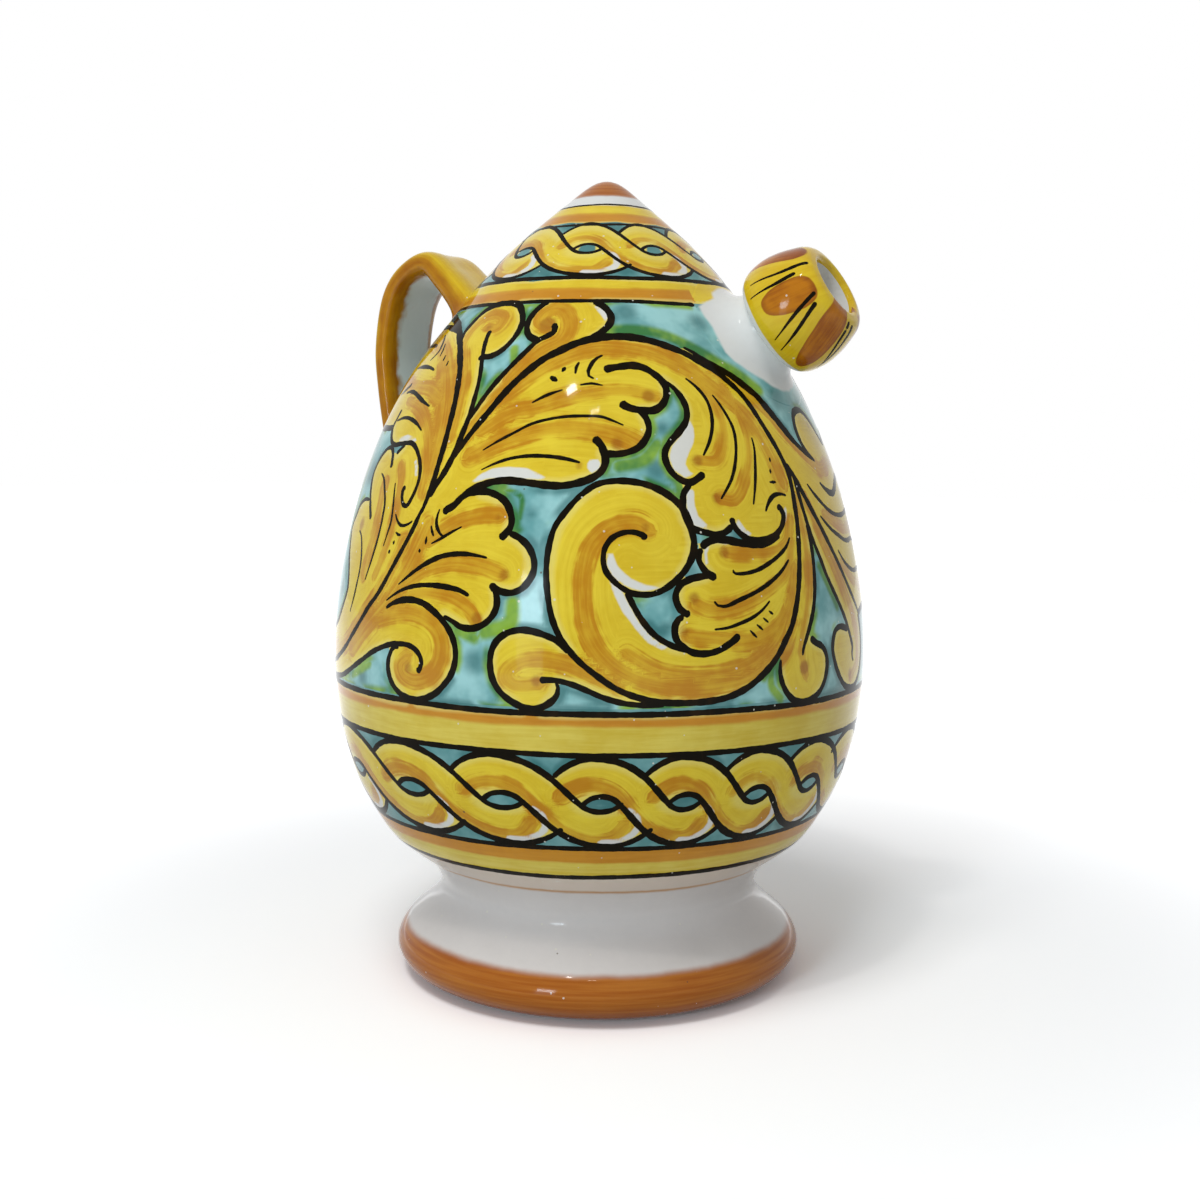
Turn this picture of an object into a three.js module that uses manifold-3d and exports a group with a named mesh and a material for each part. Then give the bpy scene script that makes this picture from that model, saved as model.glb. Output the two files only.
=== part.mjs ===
import * as THREE from "three";
import { mergeVertices } from "three/addons/utils/BufferGeometryUtils.js";
import Module from "manifold-3d";

// Clay water jug with a closed, pointed crown. It is filled through a hole in its floor,
// up an inner tube that opens just under the crown, and it pours from the spout.
// Millimetres, +Z up. The origin is the centre of the foot, on the table.
// +X points to the spout and -X to the handle.

const wasm = await Module();
wasm.setup();

// Whole jug
const jugHeight = 280;
const bodyWall = 6;
const clearance = 0.3; // kept where one piece follows the curved face of another
const cornerMargin = 1; // least step from a corner to the next point of the inner line

// Foot
const restOuterRadius = 60.4;
const restInnerRadius = 52;
const rimRadius = 72.7;
const rimHeight = 11;
const recessRadius = 46;
const waistRadius = 56.6;
const waistHeight = 32;

// Belly
const bellyRadius = 94.1;
const bellyHeight = 115;
const seamRadius = 44;
const crownHeight = 37; // from the seam to the tip
const seamHeight = jugHeight - crownHeight;
const floorThickness = 7;

// Fill tube, from the floor to just under the crown
const fillBoreRadius = 8.5;
const fillTubeWall = 4;
const fillTubeTopWall = 3;
const fillTubeRise = 3; // of its open end over the seam
const fillTubeTop = seamHeight + fillTubeRise;

// Spout
const spoutDrop = 19.4; // of its seat below the seam
const spoutSeatHeight = seamHeight - spoutDrop;
const spoutTilt = 30; // degrees above level
const spoutBoreRadius = 8.5;
const neckRadius = 14;
const neckLength = 6.8;
const neckFootRadius = 25;
const neckFootEdge = 0.8;
const bulbLength = 26.3;
const bulbRadius = 19.9;
const bulbRearStep = 0.4; // how far its rear rim stands out past the neck
const mouthRadius = 9.7;
const lipRadius = 11.8;
const lipBevel = 0.8; // how far the mouth's inner edge lies behind the lip

// Handle, a pulled strap
const strapWidth = 29.5;
const strapThickness = 9;
const strapRootThickness = 14.5;
const strapLowerThickness = 7.5;
const strapRootWidth = 32;
const strapGroove = 0.9;
const handleStandOff = 28.92; // from the wall to the middle of the strap, where it is farthest out
const handleReachDrop = 19; // heights of the handle are told from the seam
const handleCrestInset = 19.7; // of its highest point from its farthest
const handleCrestRise = 11.6;
const handleTopDrop = 8;
const handleLowerDrop = 60;
const strapBury = 7; // how deep the strap's ends start inside the wall's outer face
const strapRootRise = 4.5; // how far the strap has climbed where it leaves the wall

// Fineness of the faceted surfaces
const bodySides = 48;
const spoutSides = 28;
const stepsPerSpan = 2;
const handleSteps = 28;
const strapSides = 16;

// A curve through [radius, height] points, as a list of such points.
function smoothLine(points, steps) {
  const knots = points.map(([r, z]) => new THREE.Vector3(r, z, 0));
  const curve = new THREE.CatmullRomCurve3(knots, false, "centripetal");
  return curve.getPoints(steps).map((p) => [Math.max(p.x, 0), p.y]);
}

// Points between two landmarks, given as shares of the way in radius and in height.
function between([r0, z0], [r1, z1], shares) {
  return shares.map(([fr, fz]) => [r0 + fr * (r1 - r0), z0 + fz * (z1 - z0)]);
}

const waist = [waistRadius, waistHeight];
const widest = [bellyRadius, bellyHeight];
const seam = [seamRadius, seamHeight];
const tip = [0, jugHeight];

const lowerKnots = [
  waist,
  ...between(waist, widest, [
    [0.035, 0.054], [0.144, 0.12], [0.344, 0.189], [0.515, 0.259],
    [0.66, 0.361], [0.817, 0.506], [0.925, 0.675], [0.985, 0.85],
  ]),
];
const upperKnots = [
  widest,
  ...between(widest, seam, [
    [0.024, 0.155], [0.092, 0.305], [0.196, 0.457], [0.357, 0.621], [0.568, 0.777], [0.838, 0.918],
  ]),
];
const crownKnots = [
  seam,
  ...between(seam, tip, [[0.245, 0.318], [0.478, 0.567], [0.695, 0.783], [0.845, 0.928], [0.926, 0.982]]),
  tip,
];
const bodyKnots = [...lowerKnots, ...upperKnots, ...crownKnots];
const outerLine = smoothLine(bodyKnots, (bodyKnots.length - 1) * stepsPerSpan);
const seamIndex = (lowerKnots.length + upperKnots.length) * stepsPerSpan;

// The same line moved square to itself, inwards when the distance is negative.
function offsetLine(line, distance) {
  return line.map(([r, z], i) => {
    const [r0, z0] = line[Math.max(i - 1, 0)];
    const [r1, z1] = line[Math.min(i + 1, line.length - 1)];
    const length = Math.hypot(r1 - r0, z1 - z0);
    return [r + ((z1 - z0) / length) * distance, z - ((r1 - r0) / length) * distance];
  });
}

// Radius of a line at a height.
function radiusAt(line, z) {
  const i = line.findIndex((point) => point[1] >= z);
  if (i <= 0) {
    return i < 0 ? 0 : line[0][0];
  }
  const [r0, z0] = line[i - 1];
  const [r1, z1] = line[i];
  return r0 + ((r1 - r0) * (z - z0)) / (z1 - z0);
}

const innerLine = offsetLine(outerLine, -bodyWall).filter(([r], i) => r > bodyWall / 2 && i % 2 === 0);
const clearLine = offsetLine(outerLine, clearance);

// Geometry with shared vertices, no empty triangles and its faces pointing out.
function closed(geometry) {
  geometry.deleteAttribute("normal");
  geometry.deleteAttribute("uv");
  const merged = mergeVertices(geometry, 1e-4);
  const position = merged.attributes.position;
  const index = merged.index.array;
  const corners = [new THREE.Vector3(), new THREE.Vector3(), new THREE.Vector3()];
  const kept = [];
  let volume = 0;
  for (let i = 0; i < index.length; i += 3) {
    const face = [index[i], index[i + 1], index[i + 2]];
    if (new Set(face).size === 3) {
      kept.push(...face);
      face.forEach((vertex, k) => corners[k].fromBufferAttribute(position, vertex));
      volume += corners[0].dot(corners[1].clone().cross(corners[2]));
    }
  }
  merged.setIndex(volume < 0 ? kept.reverse() : kept);
  return merged;
}

function lathe(profile, sides) {
  const points = profile.map(([r, z]) => new THREE.Vector2(r, z));
  return closed(new THREE.LatheGeometry(points, sides).rotateX(Math.PI / 2));
}

// A surface through rings of points. Each ring closes on itself. The last ring joins the
// first when looped is true; otherwise both ends are capped.
function loft(rings, looped) {
  const count = rings[0].length;
  const points = rings.flat();
  const faces = [];
  const spans = looped ? rings.length : rings.length - 1;
  for (let i = 0; i < spans; i += 1) {
    const a = i * count;
    const b = ((i + 1) % rings.length) * count;
    for (let j = 0; j < count; j += 1) {
      const next = (j + 1) % count;
      faces.push(a + j, b + j, b + next, a + j, b + next, a + next);
    }
  }
  if (!looped) {
    const last = (rings.length - 1) * count;
    for (let j = 1; j < count - 1; j += 1) {
      faces.push(0, j, j + 1, last, last + j + 1, last + j);
    }
  }
  const geometry = new THREE.BufferGeometry();
  geometry.setAttribute("position", new THREE.Float32BufferAttribute(points.flatMap((p) => p.toArray()), 3));
  geometry.setIndex(faces);
  return closed(geometry);
}

function toSolid(geometry) {
  const vertProperties = new Float32Array(geometry.attributes.position.array);
  const triVerts = new Uint32Array(geometry.index.array);
  return new wasm.Manifold(new wasm.Mesh({ numProp: 3, vertProperties, triVerts }));
}

function toGeometry(solid) {
  const mesh = solid.getMesh();
  const geometry = new THREE.BufferGeometry();
  geometry.setAttribute("position", new THREE.Float32BufferAttribute(mesh.vertProperties, 3));
  geometry.setIndex([...mesh.triVerts]);
  return geometry;
}

// Foot: a thrown ring with a rounded rim, hollow underneath.
function footRing() {
  const outside = smoothLine([
    [restOuterRadius, 0],
    ...between([restOuterRadius, 0], [rimRadius, rimHeight], [[0.47, 0.21], [0.77, 0.43], [0.93, 0.68]]),
    [rimRadius, rimHeight],
    ...between([rimRadius, rimHeight], waist, [[0.07, 0.17], [0.25, 0.35], [0.53, 0.53], [0.85, 0.77]]),
    waist,
  ], 18);
  const recess = smoothLine([
    [recessRadius, waistHeight],
    ...between([recessRadius, waistHeight], [restInnerRadius, 0], [[0.15, 0.5]]),
    [restInnerRadius, 0],
  ], 4);
  const profile = [...outside, ...recess];
  return lathe([...profile, profile[0]], bodySides);
}

// Belly: the wall of the large pot, with the hole behind the spout.
function belly() {
  const outside = outerLine.slice(0, seamIndex + 1);
  const inside = innerLine
    .filter(([, z]) => z > waistHeight + cornerMargin && z < seamHeight - cornerMargin)
    .reverse();
  const profile = [
    ...outside,
    [radiusAt(innerLine, seamHeight), seamHeight],
    ...inside,
    [waistRadius - bodyWall, waistHeight],
    waist,
  ];
  const bore = lathe([
    [0, -spoutBoreRadius * 3], [spoutBoreRadius, -spoutBoreRadius * 3],
    [spoutBoreRadius, neckLength], [0, neckLength],
  ], spoutSides).applyMatrix4(spoutFrame());
  return toGeometry(toSolid(lathe(profile, bodySides)).subtract(toSolid(bore)));
}

// Crown: the closed cone over the seam.
function crown() {
  const inside = innerLine.filter(([, z]) => z > seamHeight + cornerMargin).reverse();
  const profile = [
    [0, inside[0][1]],
    ...inside,
    [radiusAt(innerLine, seamHeight), seamHeight],
    ...outerLine.slice(seamIndex),
  ];
  return lathe(profile, bodySides);
}

// Floor and fill tube, thrown in one: the round floor lies on the foot inside the wall,
// and the tube rises round the fill hole.
function floorTube() {
  const floorTop = waistHeight + floorThickness;
  const wallFace = [
    [waistRadius - bodyWall, waistHeight],
    ...innerLine.filter(([, z]) => z > waistHeight + cornerMargin && z < floorTop),
    [radiusAt(innerLine, floorTop), floorTop],
  ];
  const profile = [
    [fillBoreRadius, waistHeight],
    ...wallFace.map(([r, z]) => [r - clearance, z]),
    [fillBoreRadius + fillTubeWall, floorTop],
    [fillBoreRadius + fillTubeTopWall, fillTubeTop],
    [fillBoreRadius, fillTubeTop],
  ];
  return lathe([...profile, profile[0]], bodySides);
}

// Frame of the spout: its origin is where its axis meets the belly, and its Z is the axis.
function spoutFrame() {
  const frame = new THREE.Matrix4().makeRotationY(THREE.MathUtils.degToRad(90 - spoutTilt));
  frame.setPosition(radiusAt(outerLine, spoutSeatHeight), 0, spoutSeatHeight);
  return frame;
}

// Height over the spout's origin at which a line along its axis meets the clearance face.
function bodyUnderSpout(x, y) {
  const frame = spoutFrame();
  let high = neckFootRadius * 2;
  let low = -high;
  for (let i = 0; i < 40; i += 1) {
    const middle = (low + high) / 2;
    const point = new THREE.Vector3(x, y, middle).applyMatrix4(frame);
    const outside = Math.hypot(point.x, point.y) > radiusAt(clearLine, point.z);
    low = outside ? low : middle;
    high = outside ? middle : high;
  }
  return high;
}

// Spout neck: a short collar whose foot spreads out over the belly.
function spoutNeck() {
  const top = neckLength - clearance;
  const ringAt = (radius, height) => {
    const ring = [];
    for (let j = 0; j < spoutSides; j += 1) {
      const angle = (j / spoutSides) * 2 * Math.PI;
      const x = radius * Math.cos(angle);
      const y = radius * Math.sin(angle);
      ring.push(new THREE.Vector3(x, y, height(bodyUnderSpout(x, y))));
    }
    return ring;
  };
  const rings = [ringAt(neckRadius, () => top)];
  const filletSteps = 6;
  for (let k = 1; k <= filletSteps; k += 1) {
    const share = k / filletSteps;
    const radius = neckRadius + (neckFootRadius - neckRadius) * share ** 1.6;
    const rise = (1 - share) ** 2;
    rings.push(ringAt(radius, (face) => face + neckFootEdge + (top - face - neckFootEdge) * rise));
  }
  rings.push(ringAt(neckFootRadius, (face) => face));
  rings.push(ringAt((neckFootRadius + spoutBoreRadius) / 2, (face) => face));
  rings.push(ringAt(spoutBoreRadius, (face) => face));
  rings.push(ringAt(spoutBoreRadius, () => top));
  return loft(rings, true);
}

// Spout mouthpiece: the bulb with its round mouth.
function spoutMouthpiece() {
  const widestPoint = [bulbRadius, bulbLength * 0.36];
  const lip = [lipRadius, bulbLength];
  const outside = smoothLine([
    [neckRadius + bulbRearStep, 0],
    ...between([neckRadius, 0], [bulbRadius, bulbLength], [[0.5, 0.04], [0.83, 0.14]]),
    widestPoint,
    ...between(widestPoint, lip, [[0.08, 0.33], [0.29, 0.65], [0.5, 0.86], [0.73, 0.96]]),
    lip,
  ], 16);
  const inside = [
    [mouthRadius, bulbLength - lipBevel],
    [spoutBoreRadius, bulbLength * 0.75],
    [spoutBoreRadius, 0],
  ];
  const profile = [...outside, ...inside];
  return lathe([...profile, profile[0]], spoutSides);
}

// Handle: a flat strap pulled into a high, round-backed loop.
function handle() {
  const seatAt = (z) => [radiusAt(outerLine, z), z];
  const topSeat = seatAt(seamHeight - handleTopDrop);
  const lowerSeat = seatAt(seamHeight - handleLowerDrop);
  const [wallRadius, reachHeight] = seatAt(seamHeight - handleReachDrop);
  const reach = [wallRadius + handleStandOff, reachHeight];
  const crest = [reach[0] - handleCrestInset, seamHeight + handleCrestRise];
  const path = new THREE.CatmullRomCurve3([
    [topSeat[0] - strapBury, topSeat[1] - strapBury],
    [topSeat[0] + strapRootRise / 3, topSeat[1] + strapRootRise],
    ...between(topSeat, crest, [[0.55, 0.68]]),
    crest,
    ...between(crest, reach, [[0.47, 0.11], [0.8, 0.37]]),
    reach,
    ...between(reach, lowerSeat, [[0.14, 0.35], [0.5, 0.7]]),
    lowerSeat,
    [lowerSeat[0] - strapBury, lowerSeat[1] - strapBury * 1.5],
  ].map(([r, z]) => new THREE.Vector3(-r, 0, z)), false, "centripetal");
  const rings = [];
  for (let i = 0; i <= handleSteps; i += 1) {
    const share = i / handleSteps;
    const centre = path.getPointAt(share);
    const along = path.getTangentAt(share);
    const outwards = new THREE.Vector3(-along.z, 0, along.x).negate();
    const root = Math.abs(2 * share - 1) ** 3;
    const width = strapWidth + (strapRootWidth - strapWidth) * root;
    const thickness = share < 0.5
      ? THREE.MathUtils.lerp(strapRootThickness, strapThickness, Math.min(share * 3, 1))
      : THREE.MathUtils.lerp(strapThickness, strapLowerThickness, share * 2 - 1);
    const ring = [];
    for (let j = 0; j < strapSides; j += 1) {
      const angle = (j / strapSides) * 2 * Math.PI;
      const across = (width / 2) * roundedCorner(Math.cos(angle));
      const dent = Math.sin(angle) > 0 ? strapGroove * Math.max(0, 1 - (across / (width * 0.32)) ** 2) : 0;
      const out = (thickness / 2) * roundedCorner(Math.sin(angle)) - dent;
      ring.push(centre.clone().addScaledVector(outwards, out).add(new THREE.Vector3(0, across, 0)));
    }
    rings.push(ring);
  }
  const cutter = lathe([[0, 0], ...clearLine.slice(0, -1), [0, jugHeight + clearance]], bodySides);
  return toGeometry(toSolid(loft(rings, false)).subtract(toSolid(cutter)));
}

// Turns a circle's cosine or sine into that of a square with round corners.
function roundedCorner(value) {
  return Math.sign(value) * Math.abs(value) ** 0.6;
}

function glazedClay(color, roughness) {
  return new THREE.MeshStandardMaterial({ color, roughness, metalness: 0 });
}

function piece(name, geometry, material) {
  const mesh = new THREE.Mesh(geometry, material);
  mesh.name = name;
  return mesh;
}

const jug = new THREE.Group();
jug.add(piece("foot_ring", footRing(), glazedClay(0xe6dfd8, 0.25)));
jug.add(piece("belly", belly(), glazedClay(0xd9a032, 0.2)));
jug.add(piece("crown", crown(), glazedClay(0xd39a35, 0.2)));
jug.add(piece("floor_tube", floorTube(), glazedClay(0xb5714c, 0.8)));
jug.add(piece("handle", handle(), glazedClay(0xd8a82a, 0.2)));

const spout = new THREE.Group();
spout.applyMatrix4(spoutFrame());
const mouthpiece = piece("spout_mouthpiece", spoutMouthpiece(), glazedClay(0xd9b52c, 0.2));
mouthpiece.position.z = neckLength;
spout.add(piece("spout_neck", spoutNeck(), glazedClay(0xe3ded9, 0.2)));
spout.add(mouthpiece);
jug.add(spout);

export default jug;
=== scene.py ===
# Clay water jug, glazed and painted by hand. Shapes are worked out in millimetres and made in metres.
# Places on the jug are told as an angle and a height. The angle is 0 at the middle of the painted
# front and grows towards the spout, which stands at 60 degrees. The handle is at -120.
import math

import bmesh
import bpy
import numpy as np
from mathutils import Matrix, Vector


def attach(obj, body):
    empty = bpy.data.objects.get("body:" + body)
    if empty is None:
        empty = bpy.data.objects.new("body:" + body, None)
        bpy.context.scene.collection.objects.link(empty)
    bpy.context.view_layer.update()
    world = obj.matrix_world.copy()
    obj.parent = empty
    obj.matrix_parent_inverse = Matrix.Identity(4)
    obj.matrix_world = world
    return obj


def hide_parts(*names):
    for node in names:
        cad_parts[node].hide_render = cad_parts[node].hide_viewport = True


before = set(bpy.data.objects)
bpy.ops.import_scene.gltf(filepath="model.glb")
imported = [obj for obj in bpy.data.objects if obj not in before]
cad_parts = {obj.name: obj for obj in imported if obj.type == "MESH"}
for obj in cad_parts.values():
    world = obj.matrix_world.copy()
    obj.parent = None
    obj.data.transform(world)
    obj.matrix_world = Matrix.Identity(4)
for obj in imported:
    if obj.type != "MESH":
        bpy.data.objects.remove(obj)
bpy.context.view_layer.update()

spoutAngle = 60.0


# Curves

def smoothCurve(points, steps):
    # A smooth line through all the points, with steps pieces between each two of them.
    knots = np.array(points, float)
    knots = np.vstack([2 * knots[0] - knots[1], knots, 2 * knots[-1] - knots[-2]])
    share = np.linspace(0, 1, steps, endpoint=False)[:, None]
    parts = []
    for i in range(1, len(knots) - 2):
        p0, p1, p2, p3 = knots[i - 1:i + 3]
        d0, d1, d2 = (max(np.linalg.norm(b - a) ** 0.5, 1e-4) for a, b in ((p0, p1), (p1, p2), (p2, p3)))
        lead = ((p1 - p0) / d0 - (p2 - p0) / (d0 + d1) + (p2 - p1) / d1) * d1
        trail = ((p2 - p1) / d1 - (p3 - p1) / (d1 + d2) + (p3 - p2) / d2) * d1
        parts.append((2 * share ** 3 - 3 * share ** 2 + 1) * p1 + (share ** 3 - 2 * share ** 2 + share) * lead
                     + (-2 * share ** 3 + 3 * share ** 2) * p2 + (share ** 3 - share ** 2) * trail)
    parts.append(knots[-2:-1])
    return np.vstack(parts)


def between(start, end, shares):
    return [[start[0] + fr * (end[0] - start[0]), start[1] + fz * (end[1] - start[1])] for fr, fz in shares]


def runLength(line):
    return np.concatenate([[0], np.cumsum(np.linalg.norm(np.diff(line, axis=0), axis=1))])


# The jug's outside, the same as the solid's
jug = {
    "height": 280.0,
    "wall": 6.0,
    "rest": [60.4, 0.0],
    "rim": [72.7, 11.0],
    "waist": [56.6, 32.0],
    "widest": [94.1, 115.0],
    "seam": [44.0, 243.0],
    "underside": [[50.6, 31.9], [46.0, 31.9], [46.6, 22], [49.5, 9], [51.4, 2], [52.3, 0.5], [53.5, 0],
                  [58.6, 0]],
    "innerTop": 270.0,
    "tipLean": 1.5,          # the thrown tip stands this far off the middle
    "leanFrom": 200.0, "leanSpan": 80.0, "leanWay": (0.866, 0.5),
    # From one height to another, the distance between rows of points
    "rows": [(0, 32, 2.3), (32, 62, 2.8), (62, 96, 2.0), (96, 107, 3.5), (107, 234, 1.46), (234, 242, 3.0),
             (242, 262, 2.1), (262, 280, 2.1)],
    "frontStep": 0.6,        # degrees between points on the front
    "backStep": 1.2,
    "frontHalf": 84.0,
}
footKnots = [jug["rest"], *between(jug["rest"], jug["rim"], [[.47, .21], [.77, .43], [.93, .68]]), jug["rim"],
             *between(jug["rim"], jug["waist"], [[.07, .17], [.25, .35], [.53, .53], [.85, .77]]), jug["waist"]]
potKnots = [jug["waist"],
            *between(jug["waist"], jug["widest"], [[.035, .054], [.144, .12], [.344, .189], [.515, .259],
                                                   [.66, .361], [.817, .506], [.925, .675], [.985, .85]]),
            jug["widest"],
            *between(jug["widest"], jug["seam"], [[.024, .155], [.092, .305], [.196, .457],
                                                  [.357, .621], [.568, .777], [.838, .918]]),
            jug["seam"],
            *between(jug["seam"], [0, jug["height"]], [[.245, .318], [.478, .567], [.695, .783],
                                                       [.845, .928], [.926, .982]]),
            [0, jug["height"]]]
outLine = np.vstack([smoothCurve(footKnots, 12)[:-1], smoothCurve(potKnots, 24)])
outLine[:, 0] = np.maximum(outLine[:, 0], 0)
outLength = runLength(outLine)
slope = np.gradient(outLine, axis=0)
slope /= np.linalg.norm(slope, axis=1)[:, None]
outNormal = np.stack([slope[:, 1], -slope[:, 0]], axis=1)


def lengthAt(z):
    return np.interp(z, outLine[:, 1], outLength)


def radiusAt(z):
    return np.interp(z, outLine[:, 1], outLine[:, 0])


def onJug(angle, length, lift=0.0):
    # The point and the normal at an angle and a length along the outside, lifted off it.
    r = np.interp(length, outLength, outLine[:, 0])
    z = np.interp(length, outLength, outLine[:, 1])
    nr = np.interp(length, outLength, outNormal[:, 0])
    nz = np.interp(length, outLength, outNormal[:, 1])
    turn = np.radians(np.asarray(angle, float) - spoutAngle)
    r, z = r + nr * lift, z + nz * lift
    place = np.stack([r * np.cos(turn), r * np.sin(turn), z + 0 * turn], axis=-1)
    return lean(place), np.stack([nr * np.cos(turn), nr * np.sin(turn), nz + 0 * turn], axis=-1)


def lean(place):
    # The crown leans a little, as a thrown tip does.
    move = jug["tipLean"] * (np.clip(place[..., 2] - jug["leanFrom"], 0, None) / jug["leanSpan"]) ** 2
    return place + np.stack([jug["leanWay"][0] * move, jug["leanWay"][1] * move, 0 * move], axis=-1)


# Meshes

def makePiece(name, points, faces, normals=None):
    mesh = bpy.data.meshes.new(name)
    mesh.from_pydata((np.asarray(points) * 0.001).tolist(), [], faces)
    mesh.validate()
    mesh.polygons.foreach_set("use_smooth", [True] * len(mesh.polygons))
    if normals is not None:
        mesh.normals_split_custom_set_from_vertices(np.asarray(normals).tolist())
    piece = bpy.data.objects.new(name, mesh)
    bpy.context.scene.collection.objects.link(piece)
    return piece


def ringFaces(rings, count, looped=False):
    # Faces between rings of points; looped joins the last ring to the first.
    faces = []
    for i in range(rings if looped else rings - 1):
        a, b = i * count, ((i + 1) % rings) * count
        for j in range(count):
            k = (j + 1) % count
            faces.append((a + j, a + k, b + k, b + j))
    return faces


def keepValue(piece, name, values):
    values = np.asarray(values, float)
    kind = "FLOAT_VECTOR" if values.ndim == 2 else "FLOAT"
    layer = piece.data.attributes.new(name, kind, "POINT")
    layer.data.foreach_set("vector" if values.ndim == 2 else "value", values.ravel())


def pointsOf(piece):
    flat = np.empty(len(piece.data.vertices) * 3)
    piece.data.vertices.foreach_get("co", flat)
    return flat.reshape(-1, 3) * 1000


def faceOut(piece):
    # Turns all faces the same way, outwards.
    work = bmesh.new()
    work.from_mesh(piece.data)
    bmesh.ops.recalc_face_normals(work, faces=work.faces)
    work.to_mesh(piece.data)
    work.free()


# Shader tools

def fillInputs(tree, made, inputs):
    for key, value in inputs.items():
        if isinstance(value, bpy.types.NodeSocket):
            tree.links.new(value, made.inputs[key])
        else:
            made.inputs[key].default_value = value


def addNode(tree, kind, inputs=None, **settings):
    made = tree.nodes.new("ShaderNode" + kind)
    for key, value in settings.items():
        setattr(made, key, value)
    fillInputs(tree, made, inputs or {})
    return made


def calc(tree, operation, a, b=0.0, c=0.0):
    return addNode(tree, "Math", {0: a, 1: b, 2: c}, operation=operation).outputs[0]


def addShare(tree, value, extra, share):
    return calc(tree, "ADD", value, calc(tree, "MULTIPLY", extra, share))


def blendColour(tree, amount, a, b, how="MIX"):
    made = addNode(tree, "Mix", {0: amount, 6: a, 7: b}, data_type="RGBA", blend_type=how)
    return made.outputs[2]


def layOver(tree, under, over, mask, cover=1.0):
    # Paint over paint: the mask times the cover is how much of the lower colour it hides.
    return blendColour(tree, calc(tree, "MULTIPLY", mask, cover), under, over)


def rampUp(tree, value, low, high):
    # 0 below low, 1 above high, and a soft step between.
    return addNode(tree, "MapRange", {0: value, 1: low, 2: high, 3: 0.0, 4: 1.0},
                   interpolation_type="SMOOTHSTEP").outputs[0]


def rampDown(tree, value, low, high):
    return calc(tree, "SUBTRACT", 1.0, rampUp(tree, value, low, high))


def noiseAt(tree, vector, scale, detail=2.0, rough=0.5):
    inputs = {"Vector": vector, "Scale": scale, "Detail": detail, "Roughness": rough}
    return addNode(tree, "TexNoise", inputs).outputs[0]


def noiseAbout(tree, vector, scale, detail=2.0, rough=0.5):
    # Noise that swings both ways about 0.
    return calc(tree, "SUBTRACT", noiseAt(tree, vector, scale, detail, rough), 0.5)


def dotsAt(tree, vector, scale, chance, spread, smallest):
    # 1 in small dots of uneven size, 0 between them. Chance is the share of cells that hold one.
    cell = addNode(tree, "TexVoronoi", {"Vector": vector, "Scale": scale, "Randomness": 1.0}, feature="F1")
    chosen = addNode(tree, "SeparateColor", {0: cell.outputs["Color"]}).outputs
    size = calc(tree, "MULTIPLY_ADD", chosen[1], spread, smallest)
    return calc(tree, "MULTIPLY", calc(tree, "LESS_THAN", chosen[0], chance),
                calc(tree, "LESS_THAN", cell.outputs["Distance"], size))


def readValue(tree, name, output="Fac"):
    return addNode(tree, "Attribute", attribute_name=name).outputs[output]


def tone(red, green, blue):
    # A colour told as on screen, 0 to 255, as the shader wants it: the screen's own curve, undone.
    shares = (value / 255 for value in (red, green, blue))
    return (*(((v + 0.055) / 1.055) ** 2.4 if v > 0.04 else v / 12.92 for v in shares), 1.0)


def newGroup(name, ins, outs):
    group = bpy.data.node_groups.new(name, "ShaderNodeTree")
    for label, kind, value in ins:
        socket = group.interface.new_socket(label, in_out="INPUT", socket_type="NodeSocket" + kind)
        if value is not None:
            socket.default_value = value
    for label, kind in outs:
        group.interface.new_socket(label, in_out="OUTPUT", socket_type="NodeSocket" + kind)
    start = group.nodes.new("NodeGroupInput").outputs
    end = group.nodes.new("NodeGroupOutput").inputs
    return group, start, end


def useGroup(tree, group, inputs):
    made = tree.nodes.new("ShaderNodeGroup")
    made.node_tree = group
    fillInputs(tree, made, inputs)
    return made.outputs


def newMaterial(name):
    material = bpy.data.materials.new(name)
    material.use_nodes = True
    tree = material.node_tree
    shader = tree.nodes["Principled BSDF"]
    return material, tree, shader


def makeBrushWash():
    # Thinned glaze colour laid with a brush: streaks run along the stroke and the colour pools in places.
    # Stroke is (across, along, number of the stroke), in mm.
    group, start, end = newGroup("brushWash", [
        ("Stroke", "Vector", None), ("Thin", "Color", (1, 1, 1, 1)), ("Thick", "Color", (0, 0, 0, 1)),
        ("Streaks", "Float", 0.5), ("Pools", "Float", 0.5)], [("Color", "Color"), ("Density", "Float")])
    stretch = addNode(group, "VectorMath", {0: start["Stroke"], 1: (0.9, 0.05, 3.7)}, operation="MULTIPLY")
    hair = noiseAbout(group, stretch.outputs[0], 1.0, 4.0, 0.6)
    pool = noiseAbout(group, addNode(group, "NewGeometry").outputs["Position"], 75.0, 3.0, 0.55)
    both = addShare(group, calc(group, "MULTIPLY", hair, start["Streaks"]), pool, start["Pools"])
    density = rampUp(group, calc(group, "ADD", both, 0.5), 0.22, 0.78)
    group.links.new(blendColour(group, density, start["Thin"], start["Thick"]), end["Color"])
    group.links.new(density, end["Density"])
    return group


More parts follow.
